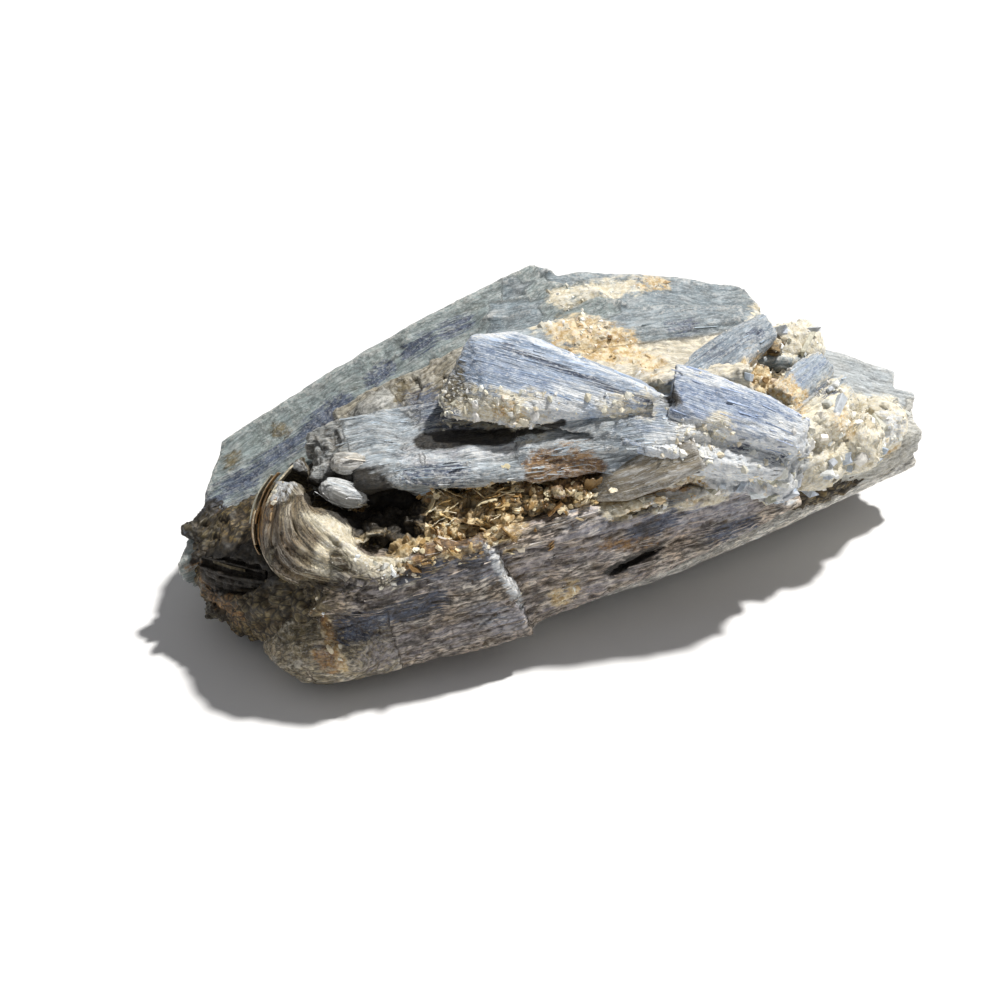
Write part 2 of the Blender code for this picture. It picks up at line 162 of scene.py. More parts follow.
# The kinds of crystals, by the start of their names
KINDS = {
    "heart": Kind((0.9, 0.06, 0.35, 0.5, 0.4, 0.5), (0.155, 0.112, 0.036), 1.0),
    "belly": Kind((0.8, 0.05, 0.25, 0.1, 0.4, 0.4), (0.28, 0.27, 0.24), 0.6),
    "back": Kind((0.9, 0.06, 0.25, 0.0, 0.5, 0.4), (0.27, 0.3, 0.32), 0.5),
    "back_plate": Kind((0.3, 0.015, 0.24, 0.0, 0.3, 0.5), (0.24, 0.29, 0.29), 0.3),
    "plate_foot": Kind((0.35, 0.03, 0.3, 0.3, 0.4, 0.5), (0.37, 0.35, 0.28), 0.5),
    "pale_knob": Kind((0.4, 0.03, 0.3, 0.15, 0.2, 0.0), (0.32, 0.32, 0.29), 0.3),
    "crown": Kind((0.4, 0.02, 0.24, 0.0, 0.4, 0.5), (0.2, 0.25, 0.28), 0.25),
    "crown_blade": Kind((0.45, 0.05, 0.14, 0.0, 0.7, 0.1), (0.22, 0.27, 0.3), 0.25),
    "trough_bank": Kind((0.3, 0.02, 0.25, 0.28, 0.4, 0.5), (0.7, 0.64, 0.5), 0.25),
    "wedge": Kind((0.4, 0.05, 0.1, 0.0, 0.5, 0.05), (0.33, 0.42, 0.56), 0.15),
    "blue_blade": Kind((0.45, 0.06, 0.1, 0.0, 0.7, 0.05), (0.25, 0.33, 0.5), 0.15),
    "blue_blade_foot": Kind((0.7, 0.08, 0.25, 0.2, 0.7, 0.3), (0.72, 0.8, 0.88), 0.15),
    "shelf": Kind((0.65, 0.07, 0.2, 0.0, 0.7, 0.45), (0.36, 0.42, 0.47), 0.35),
    "shelf_root": Kind((0.5, 0.07, 0.3, 0.3, 0.7, 0.5), (0.28, 0.3, 0.3), 0.5),
    "shelf_end": Kind((0.6, 0.06, 0.3, 0.5, 0.6, 0.6), (0.78, 0.8, 0.82), 0.15),
    "pale_blade": Kind((0.2, 0.02, 0.12, 0.0, 0.3, 0.2), (0.24, 0.19, 0.12), 0.6),
    "lens_blade": Kind((0.15, 0.02, 0.08, 0.0, 0.2, 0.3), (0.31, 0.265, 0.19), 0.15),
    "front_slab": Kind((0.7, 0.1, 0.26, 0.05, 0.5, 0.22), (0.4, 0.35, 0.3), 0.9),
    "front_slab_far": Kind((0.7, 0.1, 0.26, 0.05, 0.5, 0.22), (0.47, 0.41, 0.36), 0.8),
    # under_blade: a pale grey-blue body, lightened further as painted light for the glow bounced up from the
    # floor onto its underside
    "under_blade": Kind((0.45, 0.03, 0.18, 0.0, 0.4, 0.2), (0.72, 0.7, 0.64), 0.5),
    "chin": Kind((0.55, 0.05, 0.4, 0.1, 0.2, 0.3), (0.31, 0.265, 0.175), 0.7),
    "left": Kind((0.7, 0.08, 0.3, 0.45, 0.6, 0.7), (0.07, 0.06, 0.03), 1.0),
    "fold": Kind((0.9, 0.1, 0.2, 0.08, 0.6, 0.9), (0.15, 0.12, 0.06), 0.75),
    "fold_nose": Kind((0.9, 0.1, 0.2, 0.08, 0.6, 0.9), (0.12, 0.1, 0.05), 0.75),
    "fold_foot": Kind((0.9, 0.1, 0.35, 0.4, 0.6, 0.9), (0.12, 0.098, 0.05), 1.0),
    "fold_leaf": Kind((0.4, 0.16, 0.1, 0.0, 0.0, 0.15), (0.15, 0.12, 0.06), 0.8),
    "fold_leaf_outer": Kind((0.4, 0.16, 0.1, 0.0, 0.0, 0.15), (0.14, 0.1, 0.055), 0.8),
    "fold_leaf_middle": Kind((0.4, 0.16, 0.1, 0.0, 0.0, 0.15), (0.25, 0.205, 0.13), 0.8),
    "fold_leaf_inner": Kind((0.4, 0.16, 0.1, 0.0, 0.0, 0.15), (0.8, 0.72, 0.52), 0.35),
    "rim": Kind((0.5, 0.08, 0.15, 0.0, 0.6, 0.5), (0.2, 0.12, 0.06), 0.8),
    # cavity and cavity_leaf: the plates in the hollow under the fold, a dark brown made near black as painted
    # shade of the hollow
    "cavity": Kind((0.4, 0.1, 0.15, 0.0, 0.8, 0.4), (0.09, 0.07, 0.04), 0.8),
    "cavity_leaf": Kind((0.3, 0.12, 0.1, 0.0, 0.0, 0.2), (0.03, 0.024, 0.012), 0.8),
    "white_grain": Kind((0.4, 0.12, 0.15, 0.0, 0.3, 0.2), (0.66, 0.68, 0.68), 0.15),
    "white_grain_high": Kind((0.4, 0.12, 0.15, 0.0, 0.3, 0.2), (0.46, 0.43, 0.37), 0.15),
    "mica_bed": Kind((0.5, 0.05, 0.4, 0.75, 0.3, 0.8), (0.38, 0.25, 0.095), 0.85),
    "mica_book": Kind((0.4, 0.05, 0.3, 0.3, 0.5, 0.4), (0.5, 0.38, 0.18), 0.5),
    "mica_book_9": Kind((0.4, 0.05, 0.3, 0.3, 0.5, 0.4), (0.72, 0.64, 0.46), 0.5),
    "mica_book_11": Kind((0.4, 0.05, 0.3, 0.3, 0.5, 0.4), (0.76, 0.68, 0.5), 0.5),
    "mica_book_12": Kind((0.4, 0.05, 0.3, 0.3, 0.5, 0.4), (0.72, 0.64, 0.46), 0.5),
    "end": Kind((0.6, 0.05, 0.25, 0.15, 0.5, 0.3), (0.52, 0.51, 0.45), 0.2),
    "end_slab": Kind((0.45, 0.03, 0.14, 0.0, 0.1, 0.1), (0.4, 0.44, 0.46), 0.2),
    "slant_blade": Kind((0.5, 0.07, 0.12, 0.0, 0.7, 0.1), (0.25, 0.31, 0.37), 0.2),
    "short_blade": Kind((0.45, 0.06, 0.15, 0.0, 0.7, 0.1), (0.3, 0.36, 0.42), 0.3),
    "crumb": Kind((0.3, 0.02, 0.25, 0.25, 0.2, 0.6), (0.92, 0.85, 0.66), 0.08),
}
# Rounds of averaging that blend each trait where two kinds meet
FINISH_SPREAD, BODY_SPREAD, DIRT_SPREAD = 4, 3, 6

# Where each mineral or stain shows, and where painted shade darkens the crevices and hollows: from, to,
# radius in mm and strength
STAINS = {
    "navy": (
        ((-46.5, 10.0, 13.5), (-40.9, 10.3, 17.0), 1.9, 0.9),
        ((-40.5, 10.5, 17.4), (-31.0, 11.0, 22.4), 1.5, 0.8),
        ((-31.0, 11.0, 22.4), (-27.0, 12.0, 24.3), 1.9, 1.1),
        ((-22.0, 13.0, 26.2), (-20.0, 13.6, 27.2), 1.3, 0.9),
        ((-16.5, 14.2, 28.7), (-13.8, 14.4, 29.6), 1.4, 0.9),
        ((-11.2, 14.3, 30.2), (-8.8, 14.3, 31.2), 1.5, 1.0),
        ((-18.5, 4.4, 27.5), (-16.8, -1.5, 27.4), 2.8, 0.8),
        ((-24.0, -6.5, 25.4), (-18.0, -8.0, 25.0), 1.4, 0.8),
        ((-36.0, -15.6, 11.0), (-25.0, -17.2, 13.4), 1.9, 1.0),
        ((-29.0, -16.3, 17.0), (-24.0, -16.8, 18.2), 1.3, 0.8),
        ((-21.0, -17.0, 17.8), (-18.0, -17.0, 19.0), 1.4, 0.7),
        ((2.0, -16.9, 16.2), (6.5, -17.0, 17.0), 1.6, 0.9),
        ((12.0, -18.2, 13.2), (18.0, -18.5, 13.4), 1.5, 0.8),
        ((31.9, -8.9, 24.0), (34.5, -7.8, 24.0), 1.3, 0.6),
        ((17.5, -4.0, 30.4), (26.0, -1.5, 30.5), 1.2, 0.5),
        ((16.5, 3.3, 30.9), (18.5, 3.3, 30.9), 1.6, 0.7),
        ((14.5, -17.6, 25.8), (16.0, -18.0, 26.0), 0.7, 0.7),
        ((18.5, -19.4, 24.4), (21.0, -19.8, 24.6), 0.7, 0.6),
        ((-9.0, -0.3, 36.6), (2.4, -10.0, 32.9), 0.55, 0.75),
        ((2.4, -10.0, 32.9), (6.0, -11.7, 31.8), 0.5, 0.7),
    ),
    "blue": (
        ((12.0, -11.5, 32.6), (21.4, -19.4, 27.6), 3.6, 1.3),
        ((3.0, -12.9, 29.9), (7.0, -13.5, 29.9), 3.0, 0.5),
        ((-24.0, -17.0, 18.5), (-16.5, -17.0, 17.4), 2.8, 0.6),
        ((-19.0, -18.0, 10.0), (-15.5, -18.0, 8.0), 2.2, 0.6),
        ((-6.0, -16.0, 19.0), (8.0, -17.0, 17.5), 2.0, 0.5),
        ((28.0, -7.0, 26.0), (34.0, -3.5, 26.0), 2.0, 0.5),
        ((-12.5, -0.7, 35.6), (-5.0, -6.5, 33.6), 2.2, 0.8),
        ((8.0, -17.6, 17.6), (16.0, -18.2, 17.0), 2.4, 0.5),
    ),
    "lavender": (
        ((-34.0, -16.0, 16.5), (-16.0, -17.0, 18.5), 3.0, 0.7),
        ((-32.0, -16.0, 7.0), (-15.0, -17.5, 9.0), 3.0, 0.7),
        ((-12.0, -16.5, 15.0), (6.0, -17.5, 17.5), 3.0, 0.7),
        ((-10.0, -16.0, 9.0), (2.0, -16.5, 10.0), 2.4, 0.5),
        ((8.0, -17.5, 16.0), (20.0, -18.5, 18.0), 2.6, 0.6),
        ((-22.0, -4.0, 27.0), (-12.0, -7.0, 28.0), 2.4, 0.5),
    ),
    "cream": (
        ((3.9, 12.2, 32.9), (14.0, 12.3, 32.6), 1.8, 0.9),
        ((-16.9, -1.7, 30.6), (-8.0, -7.5, 31.2), 2.6, 0.9),
        ((0.8, -10.5, 32.2), (5.0, -12.0, 31.5), 2.0, 0.6),
        ((-34.0, -9.0, 22.4), (-32.4, -11.5, 21.2), 2.2, 1.0),
        ((-32.4, -11.5, 21.2), (-29.1, -16.3, 18.4), 2.4, 1.1),
        ((31.7, 3.8, 28.0), (33.5, 1.0, 27.0), 4.0, 0.9),
        ((35.5, -10.8, 21.9), (41.0, -12.0, 17.5), 5.0, 1.0),
        ((31.0, -13.5, 20.5), (31.0, -13.5, 17.5), 3.5, 0.9),
        ((9.3, -16.0, 27.8), (13.0, -16.5, 28.6), 2.2, 1.0),
        ((40.0, -6.0, 18.5), (45.0, -6.0, 16.0), 3.0, 0.7),
        ((-1.0, 8.0, 32.6), (6.0, 6.0, 32.2), 1.6, 0.8),
        ((-1.0, -15.7, 20.3), (9.5, -16.6, 19.6), 1.5, 1.8),
        ((9.5, -16.6, 19.6), (13.5, -17.3, 18.6), 1.2, 1.0),
    ),
    "gold": (
        ((3.2, 5.6, 32.4), (7.9, 1.8, 30.4), 3.4, 1.1),
        ((8.5, 0.0, 30.4), (9.9, -2.9, 30.6), 2.4, 0.8),
        ((24.4, -4.6, 26.4), (27.2, -9.1, 25.4), 2.8, 1.1),
        ((32.8, -12.9, 22.5), (34.0, -12.5, 20.5), 2.0, 0.6),
        ((-8.1, -16.6, 9.5), (-7.0, -16.6, 9.8), 1.8, 0.8),
        ((-12.0, -6.0, 31.0), (-10.0, -6.8, 31.0), 1.3, 0.8),
        ((39.0, -11.0, 13.5), (43.0, -10.5, 13.5), 1.5, 0.6),
        ((-26.5, -12.0, 18.2), (-14.0, -13.0, 20.0), 2.6, 1.1),
        ((-38.3, -11.9, 13.9), (-37.9, -14.0, 10.6), 0.8, 1.0),
        ((-37.9, -14.0, 10.6), (-36.9, -16.9, 6.4), 0.8, 1.0),
        ((16.4, 12.5, 32.4), (18.6, 12.1, 32.4), 1.6, 0.7),
        ((-26.0, -5.0, 18.8), (-5.0, -12.5, 20.5), 2.2, 1.0),
        ((-0.8, -13.8, 20.9), (10.0, -16.2, 20.3), 1.5, 1.8),
    ),
    "rust": (
        ((-48.5, 1.5, 10.0), (-47.0, -2.5, 8.0), 2.6, 1.1),
        ((-38.8, -15.0, 7.6), (-38.0, -15.2, 6.8), 1.3, 1.0),
        ((-40.0, -1.0, 22.0), (-41.0, -3.5, 19.5), 1.2, 0.8),
        ((-2.0, -16.5, 15.5), (4.0, -17.0, 14.0), 1.2, 0.6),
        ((-26.3, -15.2, 19.9), (-18.0, -15.0, 20.1), 0.9, 1.2),
        ((-38.1, -13.0, 12.0), (-37.2, -16.0, 7.5), 0.7, 0.8),
        ((-1.4, -14.2, 20.5), (10.0, -15.6, 20.2), 0.45, 0.9),
        ((-8.6, -11.6, 25.2), (-3.2, -13.0, 24.6), 2.1, 1.9),
    ),
    "olive": (
        ((-41.8, 13.5, 17.8), (-41.0, 13.5, 18.2), 1.3, 0.9),
        ((-35.0, 13.9, 21.3), (-34.5, 13.0, 21.3), 1.1, 0.9),
        ((-46.3, -4.5, 10.6), (-39.0, -10.7, 13.1), 4.2, 0.9),
        ((-44.0, -8.0, 9.0), (-41.0, -11.0, 9.0), 3.0, 0.7),
        ((28.8, -12.0, 10.5), (31.5, -15.0, 13.9), 1.2, 0.8),
        ((36.5, -12.0, 20.5), (38.0, -12.0, 20.0), 1.8, 0.6),
        ((-20.5, 6.5, 27.5), (-19.5, 8.5, 28.0), 1.2, 0.9),
        ((-47.0, 6.0, 12.0), (-43.0, 8.0, 13.0), 2.2, 0.6),
        ((-16.6, -0.3, 32.4), (-14.0, 3.5, 31.8), 2.8, 1.1),
    ),
    "white": (
        ((10.6, -9.8, 33.7), (23.0, -15.5, 30.0), 1.1, 0.8),
        ((-17.6, -16.6, 19.6), (-14.0, -17.2, 9.6), 0.8, 1.2),
        ((41.1, -12.1, 17.2), (42.0, -11.5, 18.0), 2.4, 0.8),
        ((-7.9, -7.5, 31.4), (-3.5, -9.3, 31.2), 1.5, 1.0),
        ((-23.0, -4.0, 26.6), (-9.0, -8.6, 27.6), 2.0, 0.5),
        ((-11.5, 2.0, 37.4), (-6.4, 1.2, 37.2), 0.8, 0.9),
        ((-6.4, 1.2, 37.2), (7.6, -12.0, 32.6), 0.9, 0.9),
        ((21.0, -19.5, 27.0), (24.0, -19.0, 25.0), 3.4, 1.3),
        ((8.0, -17.2, 26.0), (22.0, -20.2, 21.8), 4.5, 1.4),
        ((-36.6, 0.6, 25.0), (-39.6, -2.4, 23.0), 1.2, 1.1),
        ((-4.6, -7.5, 33.1), (0.0, -9.6, 32.5), 2.0, 0.6),
        ((9.0, -15.6, 29.0), (12.6, -16.6, 28.0), 1.6, 0.9),
    ),
    # Painted shade: near-black patches in the slit under the wedge, the hollows, the notch and the cracks,
    # where shade falls
    "dark": (
        ((-31.0, -4.5, 23.0), (-25.0, -6.0, 18.0), 4.0, 1.3),
        ((-28.0, -9.0, 16.5), (-22.0, -10.0, 17.5), 2.0, 0.8),
        ((-37.0, 0.5, 24.0), (-32.0, -3.4, 20.5), 1.7, 0.8),
        ((-1.5, -17.2, 11.4), (5.0, -16.6, 13.0), 1.2, 1.0),
        ((8.4, -13.0, 32.0), (8.4, -9.0, 33.0), 1.3, 0.7),
        ((-48.0, 8.0, 12.6), (-45.0, 10.0, 14.0), 1.2, 0.8),
        ((-20.4, -2.4, 27.0), (-11.7, -5.7, 27.5), 1.5, 1.5),
        ((-11.7, -5.7, 27.3), (-5.0, -9.0, 29.7), 0.6, 1.2),
        ((-47.5, 1.0, 11.5), (-41.5, -3.0, 12.3), 2.9, 1.4),
        ((4.0, -14.9, 22.0), (9.9, -16.9, 23.2), 0.7, 1.1),
    ),
}

# How each stain looks: how far it covers at most, its patches' length, width, raggedness and softness, its
# two colours and the scale they wander at. The stains go on in this order. The painted shade, which looks the
# same way, goes on last, over everything else.
STAIN_LOOKS = {
    "blue": (0.8, (14.0, 0.4, 3.5, 0.5), (0.20, 0.27, 0.42), (0.42, 0.50, 0.62), 1.2),
    "lavender": (0.75, (6.0, 0.5, 4.5, 0.5), (0.20, 0.19, 0.23), (0.46, 0.43, 0.45), 1.4),
    "cream": (0.95, (2.2, 1.0, 4.0, 0.35), (0.68, 0.59, 0.40), (0.92, 0.87, 0.72), 1.6),
    "gold": (0.95, (2.0, 1.0, 4.0, 0.35), (0.50, 0.32, 0.11), (0.86, 0.72, 0.46), 1.3),
    "olive": (0.85, (2.0, 0.9, 4.5, 0.4), (0.05, 0.038, 0.013), (0.20, 0.155, 0.065), 1.2),
    "white": (0.9, (3.5, 0.5, 4.5, 0.35), (0.60, 0.65, 0.70), (0.87, 0.88, 0.87), 2.0),
    "navy": (0.95, (9.0, 0.28, 5.0, 0.35), (0.018, 0.028, 0.06), (0.09, 0.12, 0.19), 1.5),
    "rust": (0.9, (1.6, 0.8, 5.0, 0.4), (0.12, 0.050, 0.012), (0.42, 0.23, 0.07), 1.6),
}
# How the painted shade looks: near-black patches that stand for the shade in crevices and hollows
PAINTED_SHADE_LOOK = (0.97, (3.0, 1.0, 1.8, 0.25), (0.006, 0.005, 0.004), (0.03, 0.024, 0.015), 1.5)
# Colours that go over a crystal's own, some of them where it is clean and where it is dirty
LIGHTENED = ((0.66, 0.70, 0.74, 1), (0.64, 0.59, 0.50, 1))
DEEPENED = ((0.50, 0.56, 0.64, 1), (0.46, 0.40, 0.34, 1))
EARTHY = (0.66, 0.53, 0.36, 1)
# White of the painted glints: highlight flecks painted along the fibres
PAINTED_GLINT = (0.84, 0.87, 0.90, 1)
WORN_EDGE = ((0.78, 0.79, 0.78, 1), (0.50, 0.43, 0.31, 1))
CRACK = (0.028, 0.022, 0.016, 1)
FLAW = (0.018, 0.013, 0.007, 1)
# The soil and painted shade in the grooves: its two colours and the scale they wander at
SOIL_AND_SHADE_LOOK = ((0.045, 0.030, 0.016), (0.15, 0.105, 0.055), 0.9)

# Kyanite: mottle, reach of streaks, fibres, pits, roughness and gleam, the strength of its painted glints,
# white highlight flecks along the fibres
KYANITE_LOOKS = {
    "mottled_kyanite": (0.35, 0.4, 0.05, 0.14, 0.5, 0.25),
    "fibrous_kyanite": (0.6, 0.7, 0.18, 0.1, 0.42, 0.6),
    "scaly_kyanite": (0.75, 0.32, 0.12, 0.2, 0.45, 0.8),
    "layered_kyanite": (0.7, 1.0, 0.2, 0.1, 0.5, 0.4),
    "crumbly_kyanite": (0.4, 0.5, 0.08, 0.2, 0.5, 0.4),
}
# Loose pieces: roughness, scale of their clouds and how much their tone wanders
GRAIN_LOOKS = {
    "quartz_and_broken_kyanite": (0.28, 1.6, 0.25),
    "golden_mica": (0.2, 1.0, 0.35),
    "torn_sheets": (0.45, 2.4, 0.5),
    "kyanite_splinters": (0.4, 2.0, 0.3),
}

# The folded blade at the left end: rows of places where its outermost, middle and innermost layers come
# to the surface, from the top of the fold down round its nose and out to the right
FOLD_ROWS = (
    (
        (-35.2, 1.9, 25.4), (-39.2, 0.4, 23.5), (-41.9, -1.4, 20.6), (-42.9, -3.2, 17.4),
        (-42.2, -6.2, 15.2), (-39.6, -9.6, 14.4), (-35.3, -13.4, 15.0), (-31.0, -15.6, 16.0),
    ),
    (
        (-35.6, 0.9, 25.4), (-38.4, -2.2, 24.2), (-40.4, -5.4, 22.8), (-41.2, -8.0, 20.6),
        (-39.8, -10.8, 18.9), (-37.2, -12.7, 18.2), (-34.2, -14.6, 17.8), (-30.4, -15.9, 17.6),
    ),
    (
        (-35.2, 0.4, 24.4), (-36.6, -2.6, 23.6), (-36.9, -5.9, 23.3), (-35.7, -8.4, 22.6),
        (-34.2, -10.4, 21.7), (-33.0, -12.8, 20.6), (-30.6, -14.8, 19.4), (-27.9, -15.8, 18.8),
    ),
)
# The plates in the hollow under the fold: rows along its top, its middle and its floor
PLATE_ROWS = (
    ((-48.9, 4.6, 13.0), (-45.6, 0.8, 13.9), (-42.2, -3.2, 14.2)),
    ((-49.4, 3.4, 10.6), (-46.6, -1.2, 11.4), (-42.8, -5.2, 12.4)),
    ((-49.2, 2.2, 8.0), (-46.2, -3.2, 8.4), (-42.4, -7.0, 10.2)),
)
# Rows, number of layers, their depth in mm, how much of the room between them they fill and how
# unevenly they end, in mm
LAYERED = {
    "fold_leaf": (FOLD_ROWS, 11, 5.0, 1.25, 1.0),
    "cavity_leaf": (PLATE_ROWS, 8, 5.0, 0.72, 2.0),
}
# Away from the viewer, which is the way the layers and the torn sheets reach in
INWARD = (0.295, 0.731, -0.616)

# Thin torn sheets: the two outermost rows of places, how many sheets lie between them, how deep they
# reach in, how thick they are and how ragged their edges are, in mm
TORN_SHEETS_AT = {
    "rim": (
        (
            (
                (-35.0, 2.6, 25.8), (-39.6, 1.6, 23.8), (-42.5, 0.0, 20.8),
                (-43.7, -2.0, 17.6), (-43.0, -4.6, 15.4),
            ),
            (
                (-35.2, 1.0, 25.6), (-38.4, -1.2, 24.5), (-40.8, -3.4, 22.4),
                (-41.8, -5.6, 19.2), (-41.2, -8.0, 16.2),
            ),
        ),
        (12, 2.6, 0.26, 1.3),
    ),
    "cavity": (
        (
            ((-48.9, 4.6, 12.6), (-45.8, 0.4, 13.4), (-42.4, -3.6, 13.8)),
            ((-49.2, 2.6, 8.6), (-46.4, -2.6, 9.0), (-42.6, -6.4, 10.8)),
        ),
        (9, 3.0, 0.3, 1.2),
    ),
}
# Places along the edge of a torn sheet
TORN_STEPS = 30
# The block whose top cuts the flat that the specimen rests on, in mm
TABLE_SIZE = (200, 200, 40)

# Crumpled mica on the floor of the pocket: centre, size and turn of each mass
MICA_BED = (
    ((-28.0, -6.0, 17.6), (6.0, 7.0, 3.0), 10),
    ((-25.4, -11.2, 17.4), (6.5, 6.0, 3.4), -20),
    ((-22.5, -8.4, 18.6), (7.0, 5.5, 4.0), -30),
    ((-20.6, -12.2, 18.9), (7.5, 4.4, 2.8), -10),
    ((-16.4, -10.4, 19.6), (7.0, 5.0, 3.4), 15),
    ((-14.6, -12.6, 19.9), (6.0, 3.4, 2.2), -10),
    ((-10.4, -11.4, 20.8), (7.0, 4.0, 3.0), -20),
    ((-5.4, -12.4, 22.2), (6.0, 3.4, 2.6), -10),
    ((24.4, -3.6, 25.4), (5.5, 4.2, 3.2), 20),
    ((29.0, 1.0, 26.6), (5.0, 3.6, 3.0), 10),
)

# Loose pieces: how many shapes they have, how many there are and their least and greatest size in mm
SHAPES = 6
SPLINTER_SHAPES = 5
GRAINS = 3400
GRAIN_SIZES = (0.3, 1.7)
FLAKE_BOOKS = 300
FLAKE_SIZES = (0.5, 1.7)
MICA_SHEETS = 200
MICA_SIZES = (0.8, 2.8)
BLOCKS = 170
BLOCK_SIZES = (0.9, 3.6)
SPLINTERS = 900
SPLINTER_SIZES = (0.8, 3.6)
# The mica pocket: where it lies, where along it the painted shade at its left end starts and ends, and its
# greatest height
POCKET = (
    ((-30.0, -6.0, 18.0), (-16.0, -9.5, 19.5), 3.5, 1.0),
    ((-16.0, -9.5, 19.5), (-2.0, -13.0, 21.5), 2.5, 1.0),
    ((-27.0, -11.8, 18.0), (-14.0, -12.4, 20.0), 2.4, 1.0),
)
POCKET_PAINTED_SHADE = (-31.0, -24.0)
POCKET_TOP = 22.6
# Loose pieces lie at least so high, and not so deep in another crystal, as a share of its size
LEAST_HEIGHT = 1.2
BURIED_SHARE = 0.72
GRAIN_COLOURS = {
    "cream": (
        (0.88, 0.82, 0.66), (0.92, 0.90, 0.82), (0.80, 0.74, 0.58),
        (0.70, 0.67, 0.56), (0.86, 0.86, 0.84),
    ),
    "gold": ((0.84, 0.74, 0.54), (0.90, 0.84, 0.70), (0.70, 0.52, 0.30), (0.84, 0.72, 0.58)),
    "block": (
        (0.78, 0.76, 0.68), (0.62, 0.66, 0.70), (0.46, 0.45, 0.36),
        (0.70, 0.64, 0.48), (0.50, 0.56, 0.64), (0.84, 0.84, 0.80),
    ),
    "rim": ((0.34, 0.20, 0.08), (0.46, 0.32, 0.17), (0.20, 0.11, 0.04), (0.60, 0.54, 0.40)),
    # Torn sheets in the hollow under the fold: dark brown made near black as painted shade of the hollow
    "cavity": ((0.03, 0.025, 0.012), (0.07, 0.058, 0.03), (0.17, 0.15, 0.09), (0.02, 0.017, 0.01)),
    "mica": (
        (0.64, 0.48, 0.24), (0.82, 0.69, 0.44), (0.44, 0.28, 0.11),
        (0.90, 0.81, 0.60), (0.28, 0.17, 0.07),
    ),
}

# Camera, lights and floor: turn, height and the sun's width in degrees, and lengths in mm, or in metres
# where the name ends in M
CAMERA_TURN = -22.0
CAMERA_HEIGHT = 38.0
CAMERA_DISTANCE = 260.0
CAMERA_LENS = 72.0
CAMERA_AIM = (-3.3, -2.5, 16.0)
CAMERA_SLIDE = (-6.7, -2.9)
CAMERA_SENSOR = 36.0
CAMERA_CLIP_M = 0.01
SUN_TOWARDS = (0.488, 0.112, 0.866)
SUN_STRENGTH = 4.4
SUN_WIDTH = 4.0
SUN_COLOUR = (1.0, 0.98, 0.95)
SKY_STRENGTH = 0.26
SKY_COLOUR = (0.98, 0.98, 1.0, 1)
FLOOR_COLOUR = (0.82, 0.82, 0.82, 1)
FLOOR_ROUGHNESS = 0.9
FLOOR_HALF_WIDTH_M = 3.0


# ---------------------------------------------------------------- growing the crystals


def collection(name):
    made = bpy.data.collections.new(name)
    bpy.context.scene.collection.children.link(made)
    return made


def mesh_from(bm, name):
    """A mesh of what a bmesh holds. The bmesh is used up."""
    mesh = bpy.data.meshes.new(name)
    bm.to_mesh(mesh)
    bm.free()
    return mesh


def in_scene(name, data):
    """A new object in the scene."""
    made = bpy.data.objects.new(name, data)
    bpy.context.scene.collection.objects.link(made)
    return made


def kind_of(name):
    """The kind whose key is the longest start of a crystal's name."""
    return KINDS[max((key for key in KINDS if name.startswith(key)), key=len)]


def blade_frame(start, end, roll):
    """Rotation whose X runs along the blade, Y across its broad face and Z out of that face."""
    along = (Vector(end) - Vector(start)).normalized()
    across = Vector((0, 0, 1)).cross(along).normalized()
    out = along.cross(across)
    turn = Matrix.Rotation(math.radians(roll), 3, along)
    across, out = turn @ across, turn @ out
    return Matrix((along, across, out)).transposed()


